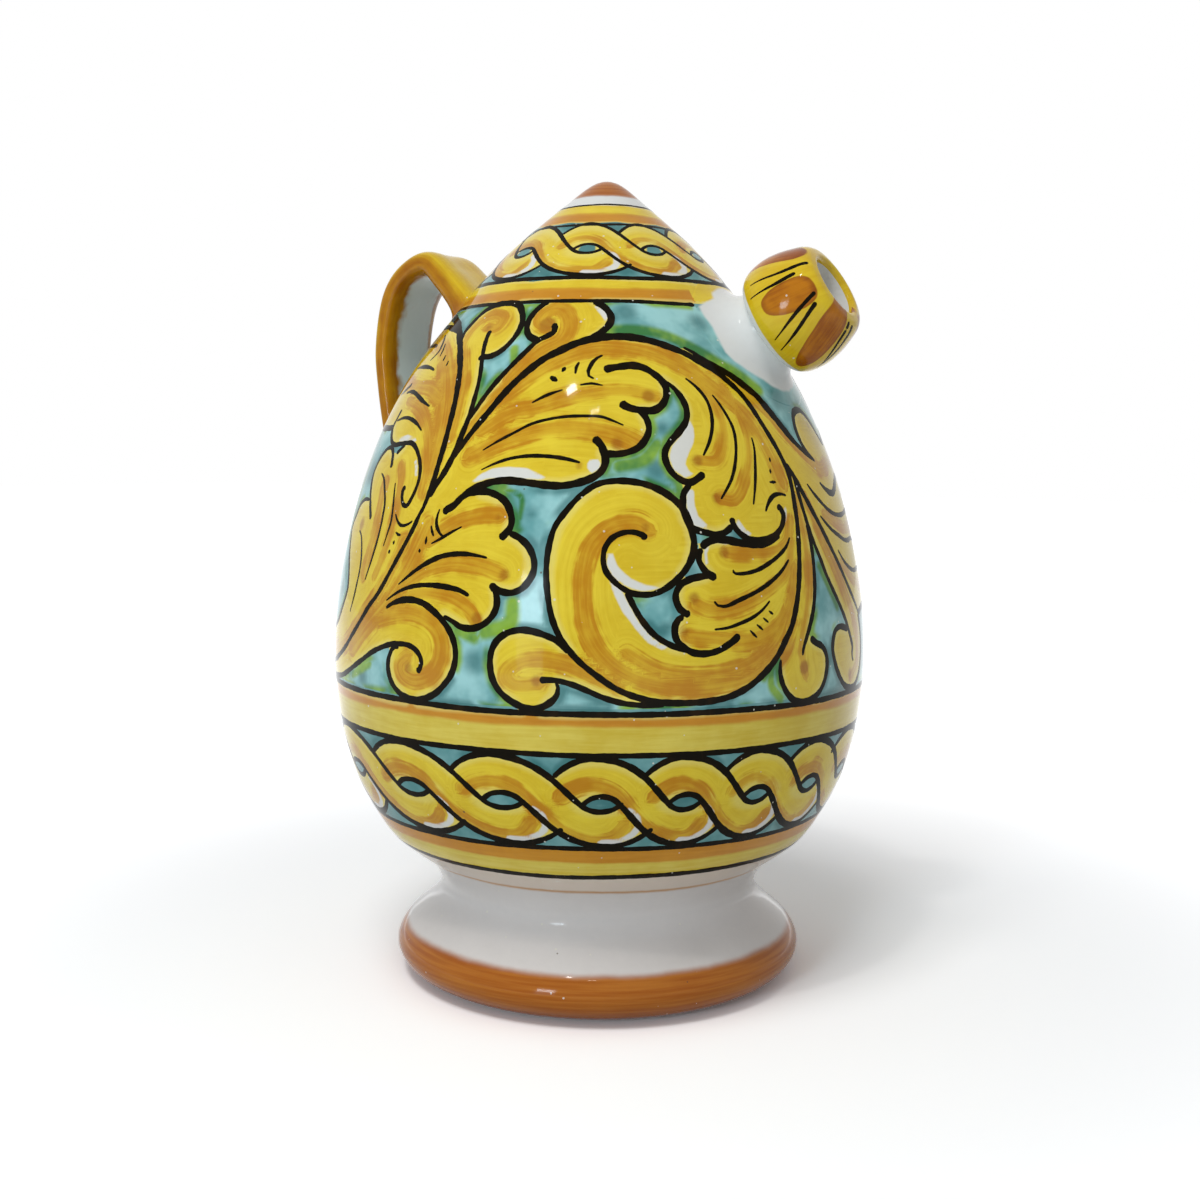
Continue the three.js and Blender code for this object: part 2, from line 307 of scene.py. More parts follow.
def makeGlazeSkin():
    # What the fired glaze adds to any colour: mottling, specks, pinholes and a slightly uneven surface.
    group, start, end = newGroup("glazeSkin", [
        ("Color", "Color", (1, 1, 1, 1)), ("Mottle", "Float", 0.06), ("Pinholes", "Float", 0.3),
        ("Smooth", "Float", 0.08)], [("Color", "Color"), ("Roughness", "Float"), ("Height", "Float")])
    place = addNode(group, "NewGeometry").outputs["Position"]
    cloud = noiseAbout(group, place, 38.0, 3.0, 0.6)
    grain = noiseAbout(group, place, 420.0, 2.0, 0.6)
    shade = addShare(group, 1.0, addShare(group, grain, cloud, 2.0), start["Mottle"])
    lit = addNode(group, "VectorMath", {0: start["Color"], "Scale": shade}, operation="SCALE").outputs[0]
    hole = dotsAt(group, place, 105.0, start["Pinholes"], 0.035, 0.012)
    speck = dotsAt(group, place, 270.0, 0.3, 0.06, 0.05)
    dotCover = 0.75
    lit = layOver(group, lit, tone(232, 228, 212), speck, dotCover)
    group.links.new(layOver(group, lit, tone(92, 70, 50), hole, dotCover), end["Color"])
    wear = noiseAt(group, place, 60.0, 3.0, 0.6)
    group.links.new(addShare(group, start["Smooth"], wear, 0.04), end["Roughness"])
    swell = noiseAt(group, place, 24.0, 2.0, 0.45)
    peel = noiseAt(group, place, 260.0, 1.0, 0.4)
    group.links.new(addShare(group, addShare(group, swell, peel, 0.035), hole, -0.25), end["Height"])
    return group


brushWash = makeBrushWash()
glazeSkin = makeGlazeSkin()


def brush(tree, stroke, thin, thick, streaks, pools):
    return useGroup(tree, brushWash, {"Stroke": stroke, "Thin": thin, "Thick": thick, "Streaks": streaks,
                                      "Pools": pools})


def finishGlaze(tree, shader, colour, mottle=0.05, pinholes=0.1, smooth=0.07, bump=0.25, gloss=0.16):
    skin = useGroup(tree, glazeSkin, {"Color": colour, "Mottle": mottle, "Pinholes": pinholes,
                                      "Smooth": smooth})
    tree.links.new(skin["Color"], shader.inputs["Base Color"])
    tree.links.new(skin["Roughness"], shader.inputs["Roughness"])
    raised = addNode(tree, "Bump", {"Height": skin["Height"], "Strength": bump, "Distance": 0.0012})
    tree.links.new(raised.outputs[0], shader.inputs["Normal"])
    shader.inputs["IOR"].default_value = 1.5
    shader.inputs["Specular IOR Level"].default_value = gloss


print("tools ready")

# The thrown pot: foot, belly and crown in one skin

spout = {
    "seat": 223.6, "tilt": 30.0, "bore": 8.5,
    "neckRadius": 14.0, "neckFoot": 26.5, "neckLength": 6.8, "neckGap": 0.2,
    "neckUnder": 17.0, "neckSunk": 0.6,      # its underside, out of sight in the wall
    "neckGather": 1.6, "neckCurve": (0.625, 2.3), "neckEdge": 0.03,
    "drill": (-26.0, 12.0),                  # along the axis, through the wall
    "bulbLength": 26.3, "bulbRadius": 19.9, "lip": 11.8,
}
spoutTurn = math.radians(spout["tilt"])
spoutOrigin = np.array([radiusAt(spout["seat"]), 0, spout["seat"]])
spoutAxis = np.array([math.cos(spoutTurn), 0, math.sin(spoutTurn)])
spoutDown = np.array([math.sin(spoutTurn), 0, -math.cos(spoutTurn)])
spoutSide = np.array([0, 1.0, 0])


def spoutPoint(angle, radius, height):
    # Angle round the spout's axis, 0 on its underside and 270 towards the painted front.
    turn = np.radians(angle)
    return (spoutOrigin + np.asarray(height)[..., None] * spoutAxis
            + (radius * np.cos(turn))[..., None] * spoutDown + (radius * np.sin(turn))[..., None] * spoutSide)


def makeRows():
    # Heights of the rows of points up the outside, close together where the painting is.
    lengths = []
    for low, high, step in jug["rows"]:
        start, end = lengthAt(low), lengthAt(high)
        lengths += list(np.linspace(start, end, max(int((end - start) / step), 2), endpoint=False))
    lengths.append(outLength[-1])
    return np.array(lengths)


def makePot():
    rows = makeRows()
    outside = [[np.interp(s, outLength, outLine[:, 0]), np.interp(s, outLength, outLine[:, 1])] for s in rows]
    inner = outLine[::16] - jug["wall"] * outNormal[::16]
    low, high = jug["waist"][1] + 3, jug["innerTop"]
    inner = inner[(inner[:, 0] > 3) & (inner[:, 1] > low) & (inner[:, 1] < high)][::-1]
    profile = inner.tolist() + jug["underside"] + outside[:-1]
    front = np.arange(-jug["frontHalf"], jug["frontHalf"], jug["frontStep"])
    back = np.arange(jug["frontHalf"], 360 - jug["frontHalf"], jug["backStep"])
    turn = np.radians(np.concatenate([front, back]) - spoutAngle)
    points = [(r * np.cos(turn), r * np.sin(turn), np.full(len(turn), z)) for r, z in profile]
    points = np.concatenate([np.stack(p, axis=1) for p in points])
    count = len(turn)
    faces = ringFaces(len(profile), count)
    points = np.vstack([points, [0, 0, inner[0][1] + 2.0], [0, 0, jug["height"]]])
    last = (len(profile) - 1) * count
    for j in range(count):
        k = (j + 1) % count
        faces.append((len(points) - 2, k, j))
        faces.append((len(points) - 1, last + j, last + k))
    pot = makePiece("pot", points, faces)

    # The hole behind the spout
    sides = 48
    ring = np.arange(sides) * 360 / sides
    drill = np.vstack([spoutPoint(ring, np.full(sides, spout["bore"]), np.full(sides, h))
                       for h in spout["drill"]])
    ends = [tuple(range(sides - 1, -1, -1)), tuple(range(sides, 2 * sides))]
    cutter = makePiece("drill", drill, ringFaces(2, sides) + ends)
    faceOut(cutter)
    cut = pot.modifiers.new("hole", "BOOLEAN")
    cut.operation, cut.object, cut.solver = "DIFFERENCE", cutter, "MANIFOLD"
    bpy.context.view_layer.objects.active = pot
    bpy.ops.object.modifier_apply(modifier=cut.name)
    bpy.data.objects.remove(cutter)
    pot.data.polygons.foreach_set("use_smooth", [True] * len(pot.data.polygons))
    return pot


pot = makePot()
print("pot", len(pot.data.vertices), "points")


# The painted ornament

# Black outlines of the scroll, read off: width in mm (one number, or several spread along the line), how
# the two ends look (o round dot, - thinning out, = full), and the points as angle and height.
arcLine = ([1.7, 2.3, 2.4, 2.1, 2.0, 2.1, 2.2, 2.0, 1.8, 1.8, 1.7, 2.3, 1.7, 1.6], "-o", [
    (-38.2, 174), (-36.9, 178.2), (-35.3, 182.9), (-33.2, 187.6), (-30.7, 192.9), (-28.2, 197.6), (-25.7, 202.4),
    (-23.2, 206.5), (-19.8, 210.8), (-15.8, 214.7), (-12.1, 217), (-7.9, 219.3), (-3.3, 220.9), (0.8, 221.6),
    (6.7, 221.8), (11.7, 221.2), (15.8, 220.2), (20, 218.7), (24.2, 216.8), (28.3, 214.1), (32.5, 211.2),
    (35.8, 207.9), (38.3, 204.7), (40.4, 200.6), (42.1, 195.9), (43.75, 191.2), (45.4, 185.9), (46.7, 180),
    (46.7, 175.3), (46.3, 169.8), (45.8, 163.2), (45, 156.4), (44.1, 149.5), (42.9, 142.7), (41.7, 137.3),
    (40, 131.4), (38.3, 127.7), (36.7, 124.1), (34.6, 120.5), (31.7, 116.8), (28.3, 113.6), (24.2, 111.4),
    (20, 110.6), (15.8, 110.5), (11.7, 110.9), (7.5, 112.3), (3.3, 115), (-0.8, 119.5), (-4.2, 124.1),
    (-7.1, 130), (-8.75, 135.5), (-9.8, 142.7), (-10.3, 150.5), (-10, 157.3), (-9, 163.2), (-7, 167.7),
    (-4.2, 172.4), (-0.8, 175.9), (2.5, 176.9), (5.8, 176.9), (9.6, 175.9), (13.3, 173.5), (16.25, 170),
    (17.6, 166.5), (18.3, 162.7), (18.75, 158.2), (17.9, 153.6), (15.8, 149.1), (12.5, 145), (10, 143.4),
    (8.3, 143.2), (6.25, 143.6), (4.2, 145.2), (2.3, 147.7), (1, 150.5), (0.6, 154.1), (1, 157.3),
    (2.5, 160.2), (4.6, 161.6), (6.7, 161.7), (8.3, 160.9), (9, 159.6)])
scrollLines = [
    arcLine,
    (1.8, "=-", [(5, 144.1), (6.25, 140), (7.9, 135.5), (10.4, 130.9), (13.75, 127.7), (17.1, 125.7)]),
    # left leaf
    (2.2, "=-", [(-84, 232.4), (-75.7, 231.5), (-68.2, 230.3), (-63.2, 228.8), (-59, 227.4), (-55.7, 225.6),
        (-52.3, 223.2), (-48.6, 220), (-45.7, 216.5), (-43.2, 212.9), (-41.5, 208.8), (-40, 203.5),
        (-39.2, 198.2), (-38.8, 192.9), (-38.6, 187.1), (-38.8, 181.2), (-39.1, 175.3), (-39.8, 170.6),
        (-40.7, 165.9)]),
    (1.6, "--", [(-84, 228.8), (-75.7, 227.9), (-67.3, 227.5), (-62.3, 226.6), (-58.2, 225.6),
        (-54.8, 224.6)]),
    (2.0, "-=", [(-49.3, 221), (-50.9, 224.7), (-50, 227.9), (-47.8, 231.2), (-44, 233.2), (-38.2, 233.8),
        (-34, 233.6), (-31.5, 232.9), (-29, 230.6), (-27.1, 227.4), (-26.9, 224.1), (-28, 220.6),
        (-30.3, 217.4), (-33.2, 215.8), (-36.1, 215.6), (-37.3, 215)]),
    ([1.6, 1.5, 2.2, 2.4], "o-", [(-38.4, 224.6), (-38, 221.8), (-36.9, 218.2), (-35.7, 214.7), (-34.4, 210.6),
        (-33.7, 206.5), (-33.4, 201.8), (-33.4, 196.5), (-34, 191.2), (-34.8, 185.3), (-36.1, 180),
        (-37.8, 175.3), (-39, 171.2)]),
    (1.8, "-o", [(-33, 195.5), (-31.1, 201.2), (-29, 205.9), (-26.5, 210.3), (-23.6, 214.7), (-21.7, 217.4),
        (-19.2, 220.6), (-17.1, 221.8), (-15.4, 222.9), (-14.6, 224.1), (-15.4, 225.6), (-16, 225.9)]),
    (2.0, "==", [(-19, 221), (-20, 220.9), (-22.5, 222.1), (-24.2, 224.4), (-24.8, 227.4), (-23.75, 230.3),
        (-21.7, 232.6), (-19.6, 233.8)]),
    (2.2, "==", [(-3.3, 233.8), (-0.8, 232.6), (1.7, 230.6), (2.9, 228.2), (2.3, 225.9), (0.8, 224.1),
        (-1.25, 222.4), (-3.3, 221.1)]),
    # main stem and the left leaf's lobes
    (1.8, "--", [(-39.8, 170), (-41.1, 165.5), (-42.3, 160.9), (-44, 155.9), (-45.7, 151.4), (-47.3, 147.3),
        (-49, 143.2), (-51.1, 139.1), (-53.6, 135.5), (-56.1, 131.4), (-58.6, 127.7), (-61.1, 124.5),
        (-63.6, 121.4), (-66.1, 119.1), (-68.6, 117.3), (-72.75, 115), (-77, 113.5), (-84, 112), (-91, 111)]),
    (1.5, "oo", [(-64.2, 199.4), (-64.8, 196.5), (-65.25, 193.5), (-64, 191.2), (-61.9, 188.8), (-59.4, 187.6),
        (-56.5, 187.8), (-53.2, 188.2), (-50.7, 188.1), (-48.6, 186.8), (-46.5, 184.4), (-44.8, 181.2),
        (-43.9, 177.6), (-44, 174.1), (-44.8, 170.6), (-45.9, 168.2), (-47.1, 168.5), (-48.2, 170.6),
        (-48.6, 172.9), (-48, 174.4)]),
    (1.4, "==", [(-53.2, 188), (-54.8, 186.2), (-56.3, 184.7)]),
    (1.5, "oo", [(-56.7, 180), (-57.3, 182.4), (-58.6, 185.3), (-60.25, 186.6), (-62.3, 186.5), (-64.8, 184.4),
        (-66.5, 181.2), (-66.9, 177.6), (-65.7, 174.1), (-64, 170.6), (-62.3, 167.6), (-61.1, 165.3),
        (-60, 163.2)]),
    (1.6, "-=", [(-64, 169.3), (-66.5, 169.5), (-69, 168.6), (-71.1, 166.8), (-71.9, 164.5), (-73.6, 161.5),
        (-74.2, 158.6)]),
    (1.6, "=-", [(-74.2, 158.6), (-72.75, 156.4), (-70.25, 150.9), (-67.75, 145.9), (-66.3, 140.5),
        (-66.9, 137.3), (-69.4, 132.3), (-72.3, 128.2), (-74, 127), (-79, 124.5), (-85, 121.5), (-91, 117.5),
        (-95.5, 113), (-97, 110.3)]),
    # left veins
    (1.4, "--", [(-75.7, 221.3), (-71.5, 221.3), (-67.3, 221.1), (-64.8, 220.6)]),
    (1.3, "--", [(-71.1, 213.5), (-66.5, 213.8), (-61.5, 213.5), (-57.3, 212.8), (-55.25, 212.1)]),
    (1.3, "o-", [(-66.5, 207.9), (-69.4, 206.5), (-73.6, 204.7)]),
    (1.3, "--", [(-67.3, 205), (-64, 205.4), (-60.7, 204.9), (-56.9, 203.5), (-53.2, 201.8), (-49, 200)]),
    (1.2, "--", [(-64, 195.6), (-60.7, 196.4), (-57.3, 196.4), (-54, 195.5), (-51.1, 194.1), (-48.4, 192.1)]),
    (1.1, "--", [(-65.25, 224.6), (-62.75, 222.9), (-60.7, 220.6), (-59.9, 218.8), (-60.7, 217.1),
        (-62.3, 215.8)]),
    (1.0, "--", [(-59, 221.2), (-57.5, 219.4), (-56.7, 216.8)]),
    (1.0, "--", [(-53.4, 217.1), (-53, 215)]),
    (1.0, "--", [(-50, 215), (-49.8, 213.2)]),
    (1.1, "--", [(-61.1, 178.2), (-59, 176.8), (-56.9, 173.5), (-54.8, 168.8), (-54.2, 164), (-54.1, 161.8),
        (-54.4, 156.4), (-55.25, 150.5), (-56.1, 146.4), (-56.7, 143.6)]),
    (1.0, "--", [(-52.5, 175.3), (-51.7, 171.8), (-50.9, 168.2), (-50.3, 163.2), (-50.7, 159.5),
        (-51.4, 155)]),
    (1.1, "--", [(-65.5, 159.1), (-63.6, 157.7), (-61.9, 154.5), (-60.7, 150.5), (-60.3, 146.4),
        (-60.7, 141.8), (-61.3, 137.7), (-62.75, 132.3)]),
    (1.1, "--", [(-49.2, 165.5), (-48, 163.4), (-46.3, 162), (-44.4, 162.3), (-42.8, 163.6)]),
    (1.1, "--", [(-47.75, 159.8), (-46.9, 159.1), (-45.75, 159)]),
    (1.0, "oo", [(-48.1, 156.6), (-47.4, 156.4)]),
    (1.0, "oo", [(-49.1, 153.6), (-48.4, 153.4)]),
    # leaf under the arc
    (2.2, "oo", [(-34.4, 166.4), (-33.2, 168), (-32.3, 168.5), (-30.25, 171.5), (-28.2, 173.8), (-25.7, 175.3),
        (-22.75, 176.5), (-20, 176.8), (-15.4, 176.2), (-11.7, 175.6), (-8.3, 175.4), (-5, 176.2),
        (-1.7, 177.9), (0.2, 180), (1, 182.9), (0.6, 185.9), (-0.2, 188.2), (-1.7, 190)]),
    (2.0, "==", [(0.6, 185.3), (2.9, 185), (5.8, 185.6), (8.3, 187.1), (10.2, 190), (11, 192.9), (10.6, 195.9),
        (9.4, 198.2), (8.3, 199.1)]),
    (2.2, "oo", [(4.6, 200.9), (6.25, 199.4), (9.6, 198.5), (12.5, 198.5), (14.6, 200), (16, 202.4),
        (16.5, 205.3), (15.6, 207.9), (13.75, 210), (11.25, 211.8), (8.3, 212.5), (5, 212.1), (2.1, 211.5),
        (0.6, 210.9)]),
    (2.0, "-o", [(16, 208), (18.3, 205.9), (20.2, 202.4), (20.9, 198.8), (20.2, 195.3), (17.9, 191.8),
        (15.6, 188.8), (14.2, 185.9), (14.2, 182.9), (15.4, 179.4), (17.5, 177.1), (19.2, 176.6),
        (20.8, 177.6), (22.7, 179.4)]),
    (0.9, "--", [(-27.3, 185.9), (-23.75, 188.8), (-20, 191.5), (-16.25, 194.1), (-12.1, 195.6), (-7.9, 196.4),
        (-3.75, 196.6), (0, 196.4), (2.5, 195.3), (5.2, 193.8)]),
    ([0.8, 1.4], "--", [(-26.7, 179.9), (-23.75, 181.8), (-20, 183.5), (-15.8, 184.3), (-11.25, 184.2),
        (-7.5, 183.5), (-4.4, 182.4)]),
    (1.0, "--", [(-17, 200.6), (-15, 202.1), (-12.5, 203.5), (-9.6, 204.7)]),
    (0.8, "--", [(-5.4, 206.2), (-2.5, 206.7), (0.4, 206.1)]),
    (1.4, "o-", [(-13.3, 208.8), (-11.25, 207.4)]),
    (1.4, "--", [(-10.4, 210.3), (-9.6, 211.9)]),
    (1.2, "--", [(-6.8, 209.7), (-6.7, 211.8), (-6, 213.5)]),
    (1.2, "--", [(-1.9, 208.2), (-3.5, 209.4), (-3.1, 211.8), (-1.7, 214.4), (0.3, 215.7)]),
    # hanging leaf inside the arc
    (1.2, "--", [(22.3, 208.8), (24.6, 206.5), (26.7, 202.9), (27.4, 198.8), (26.9, 194.1), (25.4, 189.4),
        (23.1, 184.7)]),
    (1.1, "--", [(29, 203.8), (30.8, 200), (32.5, 194.1), (32.5, 190), (31.25, 183.5), (29.2, 177.6),
        (25.8, 171.5)]),
    (1.1, "--", [(37.5, 190.6), (37.5, 187.6), (36.7, 182.9), (35.4, 176.5), (33.75, 169.7)]),
    (1.2, "oo", [(41.2, 183.7), (41.8, 183.5)]),
    (1.2, "oo", [(40.4, 180.1), (41, 179.9)]),
    (1.1, "--", [(39.6, 176.6), (41.7, 176.6)]),
    (1.4, "--", [(36.75, 167.5), (37.9, 170), (40, 172.4), (42.1, 172.9), (44, 172.4)]),
    (1.9, "oo", [(40.4, 169.3), (41.7, 167.7), (41.7, 165.5), (40.6, 162.7), (38.75, 160.5), (36.7, 159.3),
        (33.75, 158.9), (31.25, 159.3), (29.4, 160.9), (28.1, 163.2), (27.7, 165.9)]),
    (1.9, "==", [(27.7, 163.6), (26.25, 161.8), (24.2, 160.9), (21.7, 161.4), (18.8, 162.8), (17.3, 165.9),
        (17.1, 170.6), (17.5, 173.5), (19.2, 176.2)]),
    # lower leaf inside the spiral
    (2.3, "=-", [(20.2, 156.8), (21.25, 158.4), (23.3, 159.3), (25.8, 159.2), (28.3, 158.4), (31.25, 157.7),
        (34.6, 157.7), (37.5, 158.6), (39.6, 160)]),
    (2.0, "=o", [(20.2, 156.8), (19.4, 154.1), (20, 151.4), (21.25, 149.1), (22.9, 147.7)]),
    (2.0, "=o", [(22.7, 148.9), (20, 148.4), (17.5, 147.7), (15.4, 145.9), (14.4, 143.2), (14.6, 140.5),
        (15.6, 138), (17.1, 137)]),
    (2.0, "=o", [(15.8, 136.6), (14.6, 135.5), (14, 132.7), (14.4, 129.5), (15.8, 127.3), (17.5, 125.7),
        (20, 125.2), (22.5, 125.9), (24.6, 127.5), (26.25, 129.1), (27.2, 130.5)]),
    (1.3, "--", [(42.5, 159.3), (41.25, 156.8), (38.75, 154.1), (35.8, 151.8), (32.5, 149.8), (29.2, 148.9),
        (26.9, 149.1), (26.75, 150.2)]),
    (1.3, "--", [(41.25, 152.5), (38.75, 149.1), (35.4, 145.9), (31.7, 143.2), (27.5, 140.9), (24.6, 139.3),
        (22.9, 139.5), (22.1, 140.9)]),
    (1.1, "--", [(21.9, 132.4), (24.6, 132.7), (27.5, 133.9), (30.4, 135.5), (32.9, 137.7), (34.8, 140.2)]),
    (0.9, "--", [(29.6, 131.6), (31.2, 129.2)]),
    (0.9, "--", [(31.2, 133.3), (32.7, 131.4)]),
    (0.9, "--", [(32.8, 135.2), (34.1, 133.6)]),
    (0.9, "--", [(34.3, 137.2), (35.4, 136)]),
    # curls at the foot of the scroll
    (2.0, "=-", [(-5.4, 125.9), (-7.5, 129.1), (-10, 130.9), (-12.5, 132), (-14.6, 132.3), (-17.1, 131.4),
        (-19.2, 129.1), (-20.4, 125.5), (-20.6, 120.9), (-20, 116.8), (-18.5, 113.2), (-16.25, 110.5),
        (-13.75, 108.9), (-11.25, 108.9), (-9.2, 110.5), (-7.9, 112.7), (-7.5, 115), (-7.9, 117)]),
    (1.7, "o-", [(-11, 117.5), (-7.9, 117.5), (-5, 116.4), (-2.5, 114.8), (0.8, 112.5), (4.2, 110.9),
        (7.5, 110.2), (12, 109.8)]),
    (2.0, "--", [(-47.1, 135.9), (-45.25, 137.5), (-42.3, 138.9), (-39.4, 139.3), (-36.5, 138.6), (-34, 136.8),
        (-31.5, 134.1), (-29.4, 130.5), (-28.2, 126.4), (-28, 122.3), (-28.8, 117.7), (-30.5, 114.1),
        (-32.75, 110.9), (-35.7, 108.9), (-38.6, 108.3), (-41.5, 109.3), (-43.6, 111.4), (-45, 114.5),
        (-45.5, 118.2), (-45, 121.4), (-43.8, 123.9), (-42.3, 124.1)]),
    (1.7, "o-", [(-37.1, 117), (-36.1, 119.1), (-36.3, 121.8), (-37.75, 124.1), (-39.8, 125.2), (-42.3, 125.2),
        (-45.25, 124.5), (-48.2, 123), (-51.5, 120.9), (-54.8, 118.2), (-58.2, 115.7), (-61.5, 113.4),
        (-64.8, 111.4), (-68.2, 110), (-71.5, 109.3), (-76, 108.8), (-83, 108.9), (-90, 109.4), (-97, 110.3)]),
    # leaf beside the stem
    (1.2, "--", [(-35.5, 167.7), (-35.9, 165), (-35.5, 162.3), (-34.4, 160.2), (-33.4, 159.3)]),
    (1.0, "--", [(-36.3, 156.9), (-34, 158.6), (-31.5, 160.7), (-29.1, 162.5)]),
    (1.0, "--", [(-37.1, 162.5), (-36.5, 160.5), (-35.9, 159.2)]),
    (1.0, "--", [(-37.8, 159.1), (-37.8, 156.6)]),
    (1.0, "--", [(-39.3, 155.2), (-39.1, 153.9)]),
    (2.1, "-o", [(-31.5, 169.5), (-28.6, 172.6), (-25.3, 173.4), (-22.5, 172.6), (-20, 170.6), (-18.6, 167.6),
        (-18, 164), (-18.6, 161.6), (-20.2, 159.2)]),
    (2.0, "=o", [(-18.3, 161.1), (-16.25, 159.8), (-14.2, 157.3), (-12.9, 153.6), (-12.7, 150.5),
        (-13.3, 147.7), (-15, 144.5), (-17.1, 143.2), (-19.2, 143.6), (-20.6, 144.5), (-21.2, 145.9)]),
    (2.0, "=-", [(-20.4, 144.5), (-19.8, 141.8), (-19.8, 138.6), (-20.8, 135.5), (-22.5, 133.2), (-24.6, 132),
        (-27.1, 132.3), (-28.75, 133.6), (-31.1, 135.2)]),
    ([1.0, 1.7, 1.2], "--", [(-44, 143.6), (-41.9, 145.9), (-39, 148.9), (-36.1, 151.4), (-33.2, 153.2),
        (-30.25, 154.1), (-27.3, 154.3), (-24.4, 153.9), (-22.5, 153.4)]),
    ([0.9, 2.0], "--", [(-47.3, 138.2), (-44.8, 140.5), (-41.9, 142.5), (-38.2, 143.9), (-34, 144.3),
        (-30.25, 143.9), (-27.75, 143.2), (-25.7, 141.8)]),
    # right branch and its fan
    ([1.6, 2.6, 3.0, 1.2], "--", [(24.2, 218.8), (26.7, 217.4), (30, 214.7), (33.3, 212.6), (36.7, 210.6),
        (39.6, 208.2), (42.1, 205.9), (44, 204.1), (45.8, 201.2), (48.3, 197.1), (50.8, 192.9), (53.3, 189.4),
        (56.25, 186.5), (59.2, 184.1), (61, 183.2)]),
    (1.8, "--", [(47.5, 181.2), (48.3, 177.6), (48.75, 170), (49.2, 165.5), (49.8, 160.9), (50.8, 156.4),
        (52.1, 151.8), (53.3, 147.3), (55.4, 141.8), (57.9, 136.4), (60, 131.8), (61.7, 127.7), (62.9, 124.5),
        (63.75, 121.8), (63.3, 119.1), (64.2, 117)]),
    (1.8, "=-", [(49.2, 163.2), (49.4, 157.3), (49.2, 151.8), (48.75, 146.4), (48.1, 141.4), (47.1, 136.4),
        (45.6, 131.4), (44.2, 127.3), (43.3, 124.5), (43, 122.3)]),
    ([2.4, 1.7], "--", [(47.1, 182.4), (48.75, 177.6), (50.4, 172.9), (51.5, 170), (52.9, 166.4),
        (54.6, 162.3), (56.7, 157.3), (59.2, 151.8), (61.7, 146.4), (64.2, 141.4), (66.7, 137.3),
        (68.75, 134.1), (70.4, 131.4)]),
    (2.0, "o-", [(45.6, 127.7), (47.1, 125.9), (49.2, 124.5), (50.6, 122.3), (51.2, 119.1), (50.9, 115.5),
        (50, 112.3), (48.3, 109.5), (45.8, 107.9), (43.3, 107.6), (40.8, 108.4), (38.75, 110.9), (37.3, 114.5),
        (36.7, 118.6), (36.9, 121.8)]),
    (2.0, "==", [(61.2, 128.2), (60, 128.6), (58.3, 129.3), (56.7, 129.5), (55, 128.6), (54, 126.4),
        (53.5, 122.7), (54.2, 119.1), (55.4, 115.5), (57.5, 111.8), (59.6, 109.5), (62.1, 108.4), (66, 108.6),
        (69, 112), (70.8, 118), (70.8, 126), (69.5, 132)]),
    (2.0, "-=", [(61, 183.2), (58.3, 185.9), (56.7, 188.8), (56.25, 192.4), (56.9, 195.9), (58.75, 198.8),
        (61.7, 200), (64.6, 200), (67.5, 198.2), (70, 195.3), (72, 192), (74.5, 189.5), (77, 191), (82, 193.5),
        (87.5, 192), (91, 187), (91.5, 181), (90, 177)]),
    (2.0, "==", [(69.5, 132), (74, 133.5), (80, 134.5), (86, 138), (90, 144), (91.5, 151), (90.5, 156)]),
    (2.0, "==", [(90.5, 156), (93.5, 160), (95, 167), (93.5, 173), (90, 177)]),
    (2.2, "--", [(59.8, 176.2), (61.7, 174.4), (64.2, 172.9), (67.1, 172.6), (70, 174.1), (73, 176), (78, 178),
        (84, 178)]),
    (1.5, "--", [(53.1, 175.9), (55, 172.9), (57.5, 170), (60.4, 167.4), (63.75, 165.8), (67.9, 165.2),
        (72, 165.5), (79, 166.5), (85, 166)]),
    (1.5, "--", [(55.6, 165.5), (57.5, 163.2), (60.4, 160.5), (63.75, 158.6), (67.1, 157), (70.8, 156.6),
        (74.2, 157), (80, 156)]),
    (1.5, "--", [(61.25, 154.1), (62.9, 151.4), (65, 149.1), (67.9, 147.3), (71.25, 146.4), (74.6, 146.6),
        (80, 147)]),
    # closing of the left leaf, round the side
    (2.0, "==", [(-84, 232.4), (-90, 231.5), (-95.5, 227.5), (-99, 220.5), (-100, 212), (-98, 204), (-93, 198),
        (-86, 194.8), (-78, 193.5), (-71, 193.2), (-65.25, 193.3)]),
]

